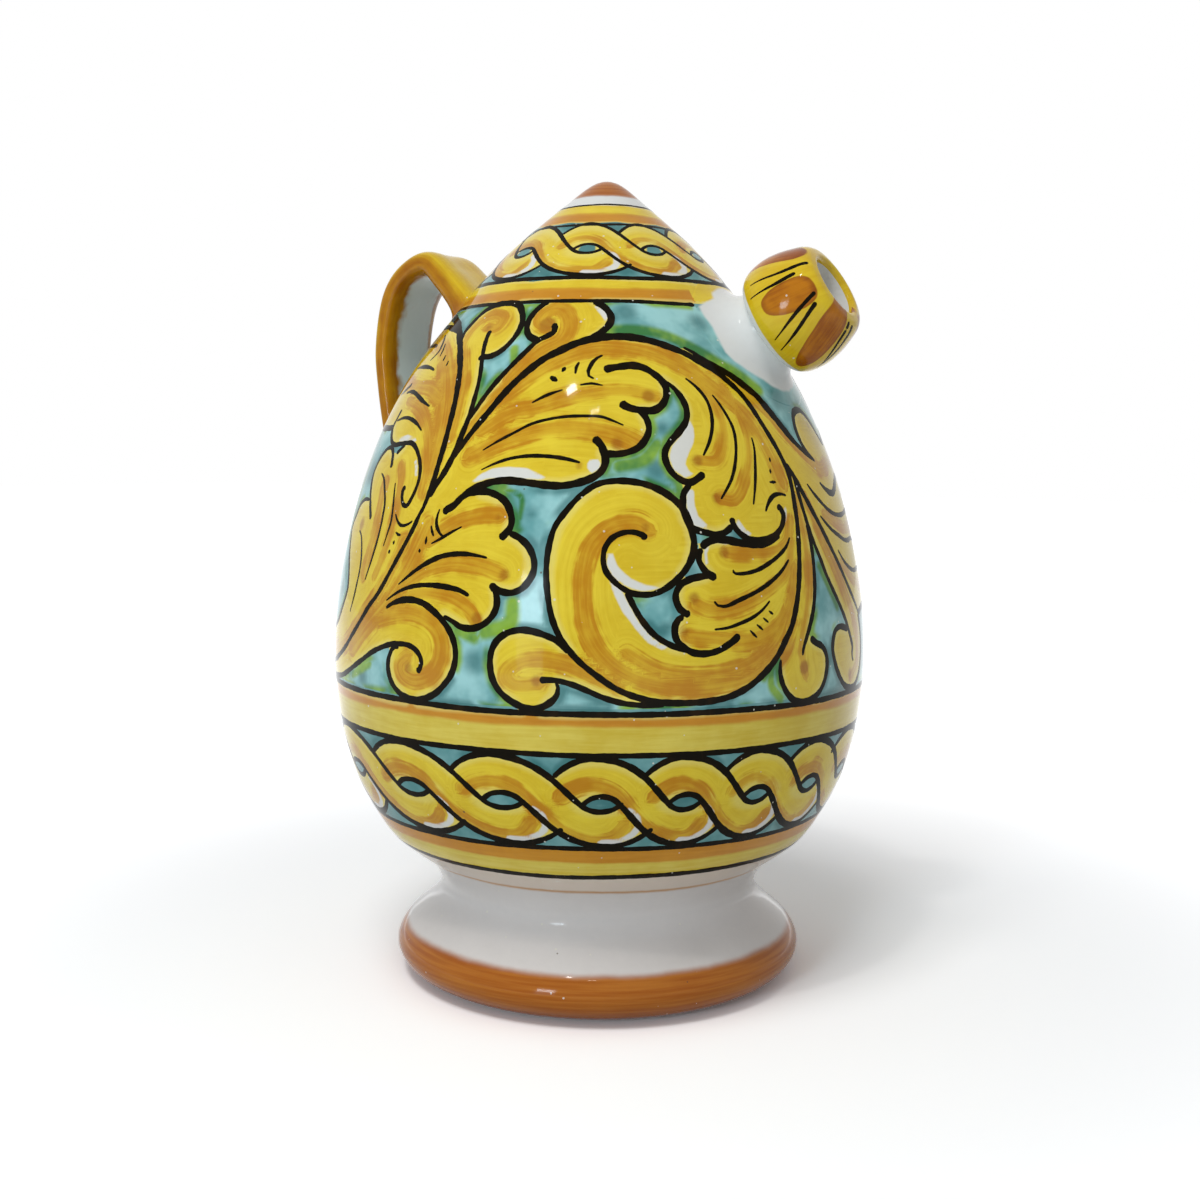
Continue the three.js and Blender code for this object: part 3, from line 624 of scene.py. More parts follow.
# Blue-green ground: places between the leaves. Each is a ring of corners, angle and height.
groundShapes = [
    [(-84, 233.8), (-45, 233.8), (-47.8, 231.2), (-50, 227.9), (-50.9, 224.7), (-49.5, 221.5), (-52.3, 223.2),
     (-55.7, 225.6), (-59, 227.4), (-63.2, 228.8), (-68.2, 230.3), (-75.7, 231.5), (-84, 232.4)],
    [(-31.5, 234), (-29, 230.6), (-27.1, 227.4), (-26.9, 224.1), (-28, 220.6), (-30.3, 217.4), (-33.2, 215.8),
     (-35.5, 215.4), (-34.4, 210.6), (-33.7, 206.5), (-33.4, 201.8), (-33.2, 195.5), (-31.1, 201.2),
     (-29, 205.9), (-26.5, 210.3), (-23.6, 214.7), (-21.7, 217.4), (-20, 219.9), (-20, 220.9), (-22.5, 222.1),
     (-24.2, 224.4), (-24.8, 227.4), (-23.75, 230.3), (-21.7, 232.6), (-19.6, 234)],
    [(-3.3, 234), (-0.8, 232.6), (1.7, 230.6), (2.9, 228.2), (2.3, 225.9), (0.8, 224.1), (-1.25, 222.4),
     (-3.3, 220.9), (0.8, 221.6), (6.7, 221.8), (11.7, 221.2), (15.8, 220.2), (20, 218.7), (24.2, 218.4),
     (26.7, 217.4), (30, 214.7), (33.3, 212.6), (36.7, 210.6), (39.6, 208.2), (42.1, 205.9), (44, 204.1),
     (45.8, 201.2), (48.3, 197.1), (50.8, 192.9), (53.3, 189.4), (56.9, 186), (56.7, 188.8), (56.25, 192.4),
     (56.9, 195.9), (58.75, 198.8), (61.7, 200), (64.6, 200), (67.5, 198.2), (70, 195.3), (76, 190),
     (84, 190), (84, 234)],
    [(-25.6, 174.4), (-25.7, 175.3), (-22.75, 176.5), (-20, 176.8), (-15.4, 176.2), (-11.7, 175.6),
     (-8.3, 175.4), (-5, 176.2), (-1.7, 177.9), (0.2, 180), (1, 182.9), (0.6, 185.3), (2.9, 185), (5.8, 185.6),
     (8.3, 187.1), (10.2, 190), (11, 192.9), (10.6, 195.9), (9.5, 198.4), (12.5, 198.5), (14.6, 200),
     (16, 202.4), (16.5, 205.3), (16, 208), (18.3, 205.9), (20.2, 202.4), (20.9, 198.8), (20.2, 195.3),
     (17.9, 191.8), (15.6, 188.8), (14.2, 185.9), (14.2, 182.9), (15.4, 179.4), (17.2, 177.2), (17.5, 173.5),
     (17.1, 170.6), (17.3, 165.9), (18.3, 163.2), (17.6, 166.5), (16.25, 170), (13.3, 173.5), (9.6, 175.9),
     (5.8, 176.9), (2.5, 176.9), (-0.8, 175.9), (-4.2, 172.4), (-7, 167.7), (-9, 163.2), (-10, 157.3),
     (-10.3, 150.5), (-9.8, 142.7), (-8.75, 135.5), (-7.1, 130), (-5.4, 125.9), (-7.5, 129.1), (-10, 130.9),
     (-12.5, 132), (-14.6, 132.3), (-17.1, 131.4), (-19.2, 129.1), (-20.4, 125.5), (-20.6, 120.9),
     (-20, 116.8), (-18.5, 113.2), (-16.25, 110.5), (-14.5, 107.5), (-37, 107.5), (-35.7, 108.9),
     (-32.75, 110.9), (-30.5, 114.1), (-28.8, 117.7), (-28, 122.3), (-28.2, 126.4), (-29.4, 130.5),
     (-31.1, 133.6), (-31.1, 135.2), (-28.75, 133.6), (-27.1, 132.3), (-24.6, 132), (-22.5, 133.2),
     (-20.8, 135.5), (-19.8, 138.6), (-19.8, 141.8), (-20.3, 144.3), (-19.2, 143.6), (-17.1, 143.2),
     (-15, 144.5), (-13.3, 147.7), (-12.7, 150.5), (-12.9, 153.6), (-14.2, 157.3), (-16.25, 159.8),
     (-18.3, 161.3), (-18, 164), (-18.6, 167.6), (-20, 170.6), (-22.5, 172.6), (-25.3, 173.4)],
    [(-71.5, 109.3), (-68.2, 110), (-64.8, 111.4), (-61.5, 113.4), (-58.2, 115.7), (-54.8, 118.2),
     (-51.5, 120.9), (-48.2, 123), (-45.3, 124.3), (-45, 121.4), (-45.5, 118.2), (-45, 114.5), (-43.6, 111.4),
     (-41.5, 109.3), (-40.5, 107.5), (-75, 107.5)],
    [(5.6, 143.3), (8.3, 143.2), (10, 143.4), (12.5, 145), (15, 146.3), (14.4, 143.2), (14.6, 140.5),
     (15.6, 138), (14.8, 136), (14, 132.7), (14.4, 129.5), (15.6, 127.3), (13.75, 127.7), (10.4, 130.9),
     (7.9, 135.5), (6.25, 140)],
    [(18.75, 158.2), (19.6, 157), (19.4, 154.1), (20, 151.4), (21.25, 149.1), (20, 148.4), (17.5, 147.7),
     (15.6, 148.6), (17.5, 152)],
    [(18.75, 158.2), (18.3, 162.9), (21.7, 161.4), (24.2, 160.9), (26.25, 161.8), (27.5, 163), (28.1, 163.2),
     (29.4, 160.9), (30.5, 159.4), (28.3, 158.4), (25.8, 159.2), (23.3, 159.3), (21.25, 158.4)],
    [(19, 110), (24.2, 111.4), (28.3, 113.6), (31.7, 116.8), (34.6, 120.5), (36.5, 123.5), (36.9, 121.8),
     (36.7, 118.6), (37.3, 114.5), (38.75, 110.9), (40.5, 107.5), (19, 107.5)],
    [(-76, 193.5), (-65.25, 193.2), (-64, 191.2), (-61.9, 188.8), (-59.4, 187.6), (-56.5, 187.8), (-53.8, 188),
     (-54.8, 186.2), (-56.3, 184.9), (-58.2, 184.9), (-60.25, 186.6), (-62.3, 186.5), (-64.8, 184.4),
     (-66.5, 181.2), (-66.9, 177.6), (-65.7, 174.1), (-63.7, 169.3), (-66.5, 169.5), (-69, 168.6),
     (-71.1, 166.8), (-71.9, 164.5), (-73.6, 161.5), (-76, 158)],
    [(-84, 162), (-73.8, 162), (-74.2, 158.5), (-72.75, 156.4), (-70.25, 150.9), (-67.75, 145.9),
     (-66.3, 140.5), (-66.9, 137.3), (-69.4, 132.3), (-72.3, 128.2), (-74, 127), (-84, 122)],
    [(49.2, 163.2), (49.4, 157.3), (49.2, 151.8), (48.75, 146.4), (48.1, 141.4), (47.1, 136.4), (45.6, 131.4),
     (45, 128.6), (47.1, 125.9), (49.2, 124.5), (50.6, 122.3), (51.2, 119.1), (50.9, 115.5), (50, 112.3),
     (48.3, 109.5), (47, 107.5), (61.5, 107.5), (59.6, 109.5), (57.5, 111.8), (55.4, 115.5), (54.2, 119.1),
     (53.5, 122.7), (54, 126.4), (55, 128.6), (56.7, 129.5), (58.3, 129.3), (60.2, 128.6), (61, 129),
     (60, 131.8), (57.9, 136.4), (55.4, 141.8), (53.3, 147.3), (52.1, 151.8), (50.8, 156.4), (49.8, 160.9)],
    [(69.4, 133), (70.5, 127), (71, 122), (70.2, 115), (68.6, 110.8), (65, 107.5), (84, 107.5), (84, 134)],
    [(-7.9, 112.7), (-7.5, 115), (-7.4, 116.8), (-5, 116.4), (-2.5, 114.8), (0.8, 112.5), (4.2, 110.9),
     (8, 110.1), (14, 109.3), (14, 107.5), (-10.5, 107.5), (-9.2, 110.5)],
    [(12, 109.9), (15.8, 110.3), (20, 110.4), (20, 107), (8, 107), (8, 109.6)],
    [(74, 107.5), (74, 234), (106, 234), (106, 107.5)],
]
# Leaves that close over the ground round the sides
groundStops = [
    [(60, 140), (69.5, 132), (74, 133.5), (80, 134.5), (86, 138), (90, 144), (91.5, 151), (90.5, 156),
     (93.5, 160), (95, 167), (93.5, 173), (90, 177), (91.5, 181), (91, 187), (87.5, 192), (82, 193.5),
     (77, 191), (74.5, 189.5), (72, 192), (68, 190), (60, 170)],
    [(-66, 230.8), (-75.7, 231.5), (-84, 232.4), (-90, 231.5), (-95.5, 227.5), (-99, 220.5), (-100, 212),
     (-98, 204), (-93, 198), (-86, 194.8), (-78, 193.5), (-66, 193.4)],
    [(-70, 129), (-74, 127), (-79, 124.5), (-85, 121.5), (-91, 117.5), (-95.5, 113), (-97, 110.3),
     (-90, 109.4), (-83, 108.9), (-76, 108.8), (-70, 109.6)],
]
# Unpainted white left round the spout, on the front only
spoutBare = [(36.5, 233.6), (37, 230), (38.2, 226), (38.5, 222), (39, 218), (41, 215), (44, 212.5), (48, 210),
             (53, 207.5), (58, 206), (62, 206), (67, 207.5), (72, 210), (76, 212.5), (79, 215), (81, 218),
             (81.5, 222), (81.8, 226), (83, 230), (83.5, 233.6), (79, 235), (74, 236), (72.5, 238.4),
             (66, 240.4), (60, 241), (54, 240.4), (47.5, 238.4), (46, 236), (41, 235)]
# White slivers where the brush left the glaze bare
bareShapes = [
    [(-29, 175.5), (-27, 178.5), (-24, 180.3), (-20, 181), (-16, 180.6), (-13, 179), (-10.5, 176.8),
     (-15, 177.3), (-20, 177.8), (-25, 177.2)],
    [(-2.6, 183.2), (-0.6, 183.4), (0, 182.3), (-0.4, 180.6), (-2, 179.2), (-3, 181)],
    [(-3.5, 232.9), (-0.5, 231.5), (1.8, 229.5), (2, 227.5), (0.8, 226.6), (-0.6, 229), (-2.6, 231.2)],
    [(21.3, 195.8), (21.9, 193), (21.5, 189.4), (20, 185.9), (18.5, 182.4), (19.2, 180), (20.8, 178.8),
     (18, 178), (15.7, 180.4), (14.9, 184), (16, 188), (18.5, 191)],
    [(18.2, 174.5), (19.8, 174.5), (19.6, 170), (20.2, 166.5), (22.5, 163), (22, 162.2), (19, 163.5),
     (17.9, 167), (17.8, 171)],
    [(1.2, 155.5), (1.2, 152), (2.5, 148.5), (5, 145.6), (8, 144.2), (12, 145.3), (12.3, 145.8), (9, 146),
     (6, 148), (3.5, 151.5), (2.5, 155.5)],
    [(0.9, 149.5), (1.7, 147.3), (2.7, 142.7), (4.2, 138.2), (6.25, 133.6), (8.75, 129.1), (11.7, 126.6),
     (13, 127.3), (9.8, 130.5), (7.3, 135), (5.6, 140), (4.2, 144.5), (2.3, 147.3)],
    [(-58.5, 189.8), (-54, 190.8), (-50, 190), (-48, 187.8), (-52, 188.9), (-57, 188.6)],
    [(-46.8, 183.2), (-45.5, 181), (-44.7, 177.5), (-45.6, 177.5), (-46.5, 180.5), (-47.6, 182.5)],
    [(28.3, 164.8), (29.4, 165.5), (30.8, 162.3), (32.9, 160), (31, 160), (29.6, 161.4), (28.6, 163.4)],
    [(42.3, 168.5), (43.5, 169.5), (43, 166), (42, 163.5)],
    [(20.6, 156.5), (21.5, 158), (26, 158.3), (27.5, 157.6), (22, 157.4), (21.3, 155), (21.5, 152),
     (20.7, 151.5)],
]
# Ochre laid over the yellow: width in mm and the points of each stroke
ochreStrokes = [
    (11, [(-33, 190), (-27, 201), (-20, 208.5), (-12, 214.5), (-3, 218), (6, 218.3), (14, 216.5), (22, 212.5),
        (29, 206.5), (37, 198), (41, 188), (43.5, 176)]),
    (9, [(-29, 192), (-22, 197.5), (-15, 199.5), (-9, 202), (-3, 203.5), (4, 204.5), (10, 204), (13, 203)]),
    (11, [(-30, 184), (-24, 188), (-16, 191.5), (-8, 193), (0, 192.3), (5, 190.5), (8, 188.5)]),
    (9, [(-24, 208), (-17, 217.5), (-12, 220.5), (-10.5, 225), (-12.5, 229.5), (-16, 231), (-19, 230),
        (-20.3, 227.5), (-17.5, 225.5)]),
    (9, [(-37.5, 190), (-38, 200), (-39.5, 208), (-43, 214.5), (-46.5, 219), (-47.5, 224), (-45, 228.5),
        (-40, 230), (-35.5, 228.5), (-36, 225.5), (-40.5, 225.5)]),
    (14, [(-39.8, 178), (-40.5, 190), (-43, 202), (-48, 211), (-55, 218), (-65, 222.5), (-76, 224.5),
        (-88, 223)]),
    (8, [(-42, 172), (-42.5, 182), (-46, 192), (-53, 199), (-62, 202)]),
    (10, [(-96, 210), (-84, 206), (-72, 208), (-60, 207), (-52, 206), (-46, 203)]),
    (7, [(-52, 181), (-50.3, 176), (-49.5, 165), (-50.5, 155), (-53, 145)]),
    (8, [(-57.5, 175), (-56.5, 165), (-57, 155), (-58, 145)]),
    (10, [(-92, 112.5), (-82, 115), (-73, 117.5), (-64, 122.5), (-56, 132), (-49.5, 142.5), (-46.5, 150),
        (-44.5, 157)]),
    (11, [(-60, 121), (-53, 130), (-47, 138), (-43, 146), (-40, 155), (-38, 163)]),
    (9, [(-50, 132.5), (-44, 135), (-38, 135.3), (-33.5, 132.5), (-31.3, 127.5), (-31.5, 121), (-34, 116),
        (-38, 114), (-41, 115.5), (-41.8, 118.5), (-40, 121)]),
    (9, [(-45, 140), (-38, 148.5), (-31, 151.5), (-24, 151), (-19.5, 149)]),
    (8, [(-46, 136.5), (-38, 141.5), (-30, 140.8), (-25.5, 137.5), (-24, 134.5)]),
    (9, [(-37, 158), (-31, 163.5), (-25, 166), (-21, 166.2)]),
    (10, [(41, 133), (37, 124), (30, 117.5), (22, 115.5), (13, 116), (5, 119.5), (0, 126), (-2.5, 134),
        (-3.3, 143), (-3, 152), (-1.2, 159), (2.5, 163.5), (7, 164.5), (9.5, 162.5)]),
    (8, [(40, 140), (36, 128), (29, 121), (20, 118.8), (11, 120.5), (5, 126)]),
    (8, [(4, 115), (-2, 120), (-7, 122.8), (-12, 123.5), (-15.5, 122), (-17.5, 118), (-15.5, 115.5),
        (-11, 116)]),
    (7, [(24, 209), (28, 203), (29.8, 196), (29, 189), (26, 183), (22, 183.2)]),
    (7, [(33, 206), (36, 197), (35.5, 186), (32.5, 177), (29, 171.5), (26, 172)]),
    (7.2, [(43.5, 165), (41.5, 158), (37, 155.2), (31, 155), (26, 155.6)]),
    (9, [(42.5, 158), (40, 149), (34, 143), (27, 139), (21, 138.3), (18.5, 140)]),
    (10, [(42.5, 150), (41, 142), (37, 133), (30, 128.5), (22, 129.5), (17, 130.5)]),
    (9, [(31, 213), (39, 206.5), (46, 198), (52, 190), (58, 184), (63, 181), (72, 183), (84, 185)]),
    (7, [(46.8, 172), (47.5, 160), (46.8, 148), (45, 137), (43, 128), (43, 121), (44, 116)]),
    (8, [(50.5, 172), (54.5, 158), (59.5, 145), (64.5, 132), (67, 124), (66.5, 116), (63, 112.5)]),
    (8, [(58, 166), (66, 161.5), (76, 161), (88, 163)]),
    (8, [(62, 150), (69, 143), (78, 141), (86, 145)]),
]
# Dark ends of the strokes, where the colour gathered: angle, height, radius
ochreDabs = [
    (11.5, 202.8, 3), (3.5, 188.2, 3), (-4.6, 181.5, 2.4), (-40, 225.5, 3.2), (-17.5, 226, 3), (-65, 161, 3.4),
    (-39.5, 118, 3), (-18.5, 148.6, 3), (-23.8, 135, 2.8), (-21, 165.8, 3), (21.5, 183.2, 2.8),
    (24.8, 172, 2.8), (25, 155.4, 2.6), (18, 142, 3), (16, 132, 3), (43.5, 118.5, 2.6), (9, 163, 2.6),
    (-11.5, 117, 2.4), (62, 113, 2.8), (66, 195, 3), (87, 187, 3), (89, 167, 3), (87, 146, 3), (-95, 213, 3.4),
]
# Green brushed into the ground beside the leaves
greenStrokes = [
    (6, [(2, 223.5), (10, 224), (18, 223), (26, 219.5), (34, 214.5), (40, 211), (46, 206)]),
    (6, [(-22, 131), (-17, 134), (-16.5, 140)]), (5, [(-28, 131), (-24, 129)]),
    (6, [(4, 181.5), (9, 183), (12.5, 188)]), (3.5, [(-16.5, 165), (-16.5, 172), (-20, 174)]),
    (4, [(51, 150), (53.5, 143), (56.5, 136)]), (4, [(34.5, 119), (34.5, 114), (37, 109.5)]),
    (5, [(-51, 229), (-47, 232.5)]), (6, [(96, 196), (94, 186), (96, 176)]),
    (6, [(84, 131), (93, 136), (97, 145)]), (4, [(-26, 218), (-24.5, 213)]), (4, [(-60, 112), (-52, 117)]),
]
# Pooled, darker places in the ground: angle, height, radius
groundPools = [
    (34, 228, 6), (14, 193, 4), (12, 181, 5), (-14, 167, 5), (52, 203, 6), (-55, 113, 5), (-47, 110, 4),
    (-24, 122, 6), (-28, 210, 3), (8, 230, 5), (-70, 178, 6), (-72, 140, 6), (12, 133, 3), (52, 120, 4),
    (78, 215, 8), (100, 180, 8), (78, 118, 6), (98, 150, 7), (-8, 180, 4),
]


farOutside = -6.0
smallestRadius = 45.0        # of the jug where it is painted
atOnce = 4000                # places worked on at a time


def placesNear(angle, length, radius, corners, cornerLength, reach):
    # The places within reach of a row of points, some at a time, and where the points lie seen from each.
    margin = math.degrees(reach / smallestRadius)
    for shift in (-180, 0, 180):
        a = angle + shift
        pick = np.nonzero((a > corners[:, 0].min() - margin) & (a < corners[:, 0].max() + margin)
                          & (length > cornerLength.min() - reach) & (length < cornerLength.max() + reach))[0]
        for part in np.array_split(pick, max(len(pick) // atOnce, 1)):
            if len(part):
                scale = np.radians(radius[part])[:, None]
                yield (part, (corners[None, :, 0] - a[part, None]) * scale,
                       cornerLength[None, :] - length[part, None])


def nearLine(angle, length, radius, points, reach):
    # For places on the jug: how far the line is, how far along it the nearest point lies, and on which side.
    path = smoothCurve(points, 4)
    pathLength = lengthAt(path[:, 1])
    run = runLength(np.stack([np.radians(path[:, 0]) * radius.mean(), pathLength], axis=1))
    near, along, side = np.full(len(angle), reach, float), np.zeros(len(angle)), np.zeros(len(angle))
    for part, x, y in placesNear(angle, length, radius, path, pathLength, reach):
        dx, dy = np.diff(x, axis=1), np.diff(y, axis=1)
        share = np.clip(-(x[:, :-1] * dx + y[:, :-1] * dy) / (dx * dx + dy * dy + 1e-9), 0, 1)
        px, py = x[:, :-1] + share * dx, y[:, :-1] + share * dy
        away = np.hypot(px, py)
        best = away.argmin(axis=1)
        row = np.arange(len(part))
        closer = away[row, best] < near[part]
        kept, row, best = part[closer], row[closer], best[closer]
        near[kept] = away[row, best]
        along[kept] = run[best] + share[row, best] * (run[best + 1] - run[best])
        turn = px[row, best] * dy[row, best] - py[row, best] * dx[row, best]
        side[kept] = np.sign(turn) * away[row, best]
    return near, along, side


def insideBy(angle, length, radius, corners, reach=-farOutside):
    # How far inside a ring of corners each place lies, in mm; below 0 outside it.
    ring = np.array(corners, float)
    result = np.full(len(angle), -reach)
    for part, x, y in placesNear(angle, length, radius, ring, lengthAt(ring[:, 1]), reach):
        nx, ny = np.roll(x, -1, axis=1), np.roll(y, -1, axis=1)
        dx, dy = nx - x, ny - y
        share = np.clip(-(x * dx + y * dy) / (dx * dx + dy * dy + 1e-9), 0, 1)
        away = np.hypot(x + share * dx, y + share * dy).min(axis=1)
        crosses = ((y > 0) != (ny > 0)) & (x - y * dx / np.where(dy == 0, 1e-9, dy) > 0)
        inside = crosses.sum(axis=1) % 2 == 1
        result[part] = np.maximum(result[part], np.where(inside, np.minimum(away, reach), -away))
    return result


# The two plaited bands. Each eye is one crossing; the strand line runs over the eye, down into the next lobe
# and up again, told as shares of the spacing and of the band's half height.
plait = {
    "low": {"from": 62.5, "to": 95, "middle": 78.8, "half": 14.8, "eyeWide": 0.19, "eyeTall": 2.5,
            "lineWidth": 1.95, "strokeWidth": 8.0,
            "eyes": [-66, -42, -19.5, 0.5, 17.5, 34, 50.5, 68, 88, 108.5, 129, 149.5, 170.5, 191, 211.5, 232,
                     252.5, 273.5]},
    "high": {"from": 241.5, "to": 262, "middle": 252.3, "half": 9.5, "eyeWide": 0.14, "eyeTall": 1.5,
             "lineWidth": 1.2, "strokeWidth": 6.2,
             "eyes": [-49.5, -9, 27.5, 63, 98.5, 134, 169.5, 205, 240, 275.5]},
}
strandShares = [(-0.22, -0.03), (-0.12, 0.12), (0.02, 0.175), (0.14, 0.115), (0.25, -0.07), (0.38, -0.34),
                (0.52, -0.61), (0.7, -0.84), (0.92, -0.98), (1.12, -1.0), (1.3, -0.91), (1.45, -0.74),
                (1.54, -0.58)]


def strandLine(band, eye, under):
    # One strand line as angle and height. Under lines are the same line turned half round about the eye.
    eyes = band["eyes"]
    here = eyes[eye % len(eyes)]
    nextGap = (eyes[(eye + 1) % len(eyes)] - here) % 360
    lastGap = (here - eyes[(eye - 1) % len(eyes)]) % 360
    sign = -1 if under else 1
    gap = lastGap if under else nextGap
    return [(here + sign * gap * fa, band["middle"] + sign * band["half"] * fz) for fa, fz in strandShares]


def plaitGround(band, angle, z):
    # Inside of the ground in a plaited band, in mm: over the strands, under them and in the eyes.
    top, low = np.full(len(angle), -999.0), np.full(len(angle), 999.0)
    eyeIn = np.full(len(angle), -9.0)
    for eye, centre in enumerate(band["eyes"]):
        for under in (False, True):
            line = smoothCurve(sorted(strandLine(band, eye, under)), 4)
            off = (angle - line[0, 0]) % 360
            inLine = off <= line[-1, 0] - line[0, 0]
            height = np.interp(off, line[:, 0] - line[0, 0], line[:, 1])
            if under:
                top = np.where(inLine, np.maximum(top, height), top)
            else:
                low = np.where(inLine, np.minimum(low, height), low)
        gap = (band["eyes"][(eye + 1) % len(band["eyes"])] - centre) % 360
        off = (angle - centre + 180) % 360 - 180
        rise = z - band["middle"] - off * 0.02
        away = np.hypot(off / (band["eyeWide"] * gap), rise / band["eyeTall"])
        eyeIn = np.maximum(eyeIn, (1 - away) * band["eyeTall"])
    return np.maximum(np.maximum((z - top) * 0.85, (low - z) * 0.85), eyeIn)


paintPlaces = {
    "panel": (106, 235), "patch": (195, 250), "spoutFront": (20, 100),
    # Here the ochre line over the panel stops at the spout, and the yellow above it goes on
    "gapAngles": (36.3, 84), "gapHeights": (233.2, 239.2), "gapShown": 239.6,
}


def within(values, limits):
    return (values > limits[0]) & (values < limits[1])


def paintSkin(piece, under, isOut):
    # Keeps on each point what the glaze needs to know; under is where the point stands on the pot.
    r = np.hypot(under[:, 0], under[:, 1])
    z = under[:, 2]
    angle = (np.degrees(np.arctan2(under[:, 1], under[:, 0])) + spoutAngle + 90) % 360 - 90
    length = lengthAt(z)
    total = len(under)
    ground, bare, patch = (np.full(total, farOutside) for i in range(3))
    ochre, dab, green, pool = (np.full(total, -1.0) for i in range(4))
    stroke = np.stack([z, np.radians(angle) * r, np.full(total, 9.0)], axis=1)

    panel = np.nonzero(isOut & within(z, paintPlaces["panel"]))[0]
    # The panel is painted twice, half a turn apart
    a, s, radius = (angle[panel] + 90) % 180 - 90, length[panel], r[panel]
    inGround = np.full(len(panel), farOutside)
    for corners in groundShapes:
        inGround = np.maximum(inGround, insideBy(a, s, radius, corners))
    for corners in groundStops:
        inGround = np.minimum(inGround, -insideBy(a, s, radius, corners))
    ground[panel] = inGround
    bareIn = np.full(len(panel), farOutside)
    for corners in bareShapes:
        bareIn = np.maximum(bareIn, insideBy(a, s, radius, corners, 3.0))
    bare[panel] = bareIn
    body, ends, leafy, deep = (np.full(len(panel), -1.0) for i in range(4))
    marks = stroke[panel]
    for number, (width, points) in enumerate(ochreStrokes):
        near, along, side = nearLine(a, s, radius, points, width)
        cover = 1 - near / (width / 2)
        better = cover > body
        body[better] = cover[better]
        marks[better] = np.stack([side, along, np.full(len(side), float(number))], axis=1)[better]
    for store, shapes in ((ends, ochreDabs), (deep, groundPools)):
        for ca, cz, size in shapes:
            for shift in (-180, 0, 180):
                away = np.hypot(np.radians(a + shift - ca) * radius, s - lengthAt(cz))
                store[:] = np.maximum(store, 1 - away / size)
    for width, points in greenStrokes:
        leafy = np.maximum(leafy, 1 - nearLine(a, s, radius, points, width)[0] / (width / 2))
    ochre[panel], dab[panel], green[panel], pool[panel] = body, ends, leafy, deep
    stroke[panel] = marks

    for band in plait.values():
        pick = np.nonzero(isOut & within(z, (band["from"], band["to"])))[0]
        ground[pick] = plaitGround(band, angle[pick], z[pick])
        strandPaint(band, pick, angle, z, r, ochre, bare, stroke)

    inPatch = within(z, paintPlaces["patch"]) & within(angle, paintPlaces["spoutFront"])
    pick = np.nonzero(isOut & inPatch)[0]
    patch[pick] = insideBy(angle[pick], length[pick], r[pick], spoutBare)
    height = z.copy()
    swap = isOut & within(angle, paintPlaces["gapAngles"]) & within(z, paintPlaces["gapHeights"])
    height[swap] = paintPlaces["gapShown"]
    keepValue(piece, "height", height)
    for name, values in (("ground", ground), ("bare", bare), ("ochre", ochre), ("dab", dab), ("green", green),
                         ("pool", pool), ("patch", patch), ("inside", np.where(isOut, 0.0, 1.0))):
        keepValue(piece, name, values)
    keepValue(piece, "stroke", stroke)


# Ochre along the lower left of each strand and the white sliver in each lobe, as shares of the spacing and of
# the band's half height
strandOchre = [(0.38, 0.14), (0.22, 0.36), (0.02, 0.41), (-0.18, 0.24), (-0.36, -0.17), (-0.6, -0.6),
               (-0.9, -0.83), (-1.14, -0.78), (-1.26, -0.5)]
lobeWhiteHalf = 1.15
lobeWhite = [(-1.0, -0.9), (-1.2, -0.86), (-1.37, -0.62), (-1.36, -0.3), (-1.28, -0.15)]


def strandPaint(band, pick, angle, z, r, ochre, bare, stroke):
    eyes = band["eyes"]
    for eye, centre in enumerate(eyes):
        gap = (eyes[(eye + 1) % len(eyes)] - centre) % 360
        lastGap = (centre - eyes[eye - 1]) % 360
        line, white = ([(centre - fa * (lastGap if fa > 0 else gap), band["middle"] + fz * band["half"])
                        for fa, fz in shares] for shares in (strandOchre, lobeWhite))
        off = (angle[pick] - centre + 180) % 360 - 180 + centre
        width = band["strokeWidth"]
        near, along, side = nearFlat(off, z[pick], r[pick], line, width)
        cover = 1 - near / (width / 2)
        better = cover > ochre[pick]
        ochre[pick[better]] = cover[better]
        stroke[pick[better]] = np.stack([side, along, np.full(len(side), float(eye))], axis=1)[better]
        near = nearFlat(off, z[pick], r[pick], white, 3.0)[0]
        bare[pick] = np.maximum(bare[pick], lobeWhiteHalf - near)


def nearFlat(angle, z, radius, points, reach):
    # nearLine for the plaits, whose places are told on the line's own side of the jug
    keep = np.nonzero(np.abs(angle - np.mean([p[0] for p in points])) < 60)[0]
    near, along, side = np.full(len(angle), reach, float), np.zeros(len(angle)), np.zeros(len(angle))
    if len(keep):
        near[keep], along[keep], side[keep] = nearLine(angle[keep], lengthAt(z[keep]), radius[keep], points,
                                                       reach)
    return near, along, side


def paintPot(piece):
    place = pointsOf(piece)
    r, z = np.hypot(place[:, 0], place[:, 1]), place[:, 2]
    paintSkin(piece, place, (np.abs(r - radiusAt(z)) < 0.6) & ~((z < 0.5) & (r < 60)))
    piece.data.vertices.foreach_set("co", (lean(place) * 0.001).ravel())
    piece.data.update()


paintPot(pot)
print("pot painted")


# Black lines, laid on as thin raised glaze

def jugUnderSpout(x, y):
    # Height over the spout's origin at which lines along its axis meet the jug.
    low, high = np.full(x.shape, -60.0), np.full(x.shape, 60.0)
    for i in range(40):
        middle = (low + high) / 2
        point = (spoutOrigin + middle[..., None] * spoutAxis
                 + x[..., None] * spoutDown + y[..., None] * spoutSide)
        outside = np.hypot(point[..., 0], point[..., 1]) > radiusAt(point[..., 2])
        low, high = np.where(outside, low, middle), np.where(outside, middle, high)
    return high


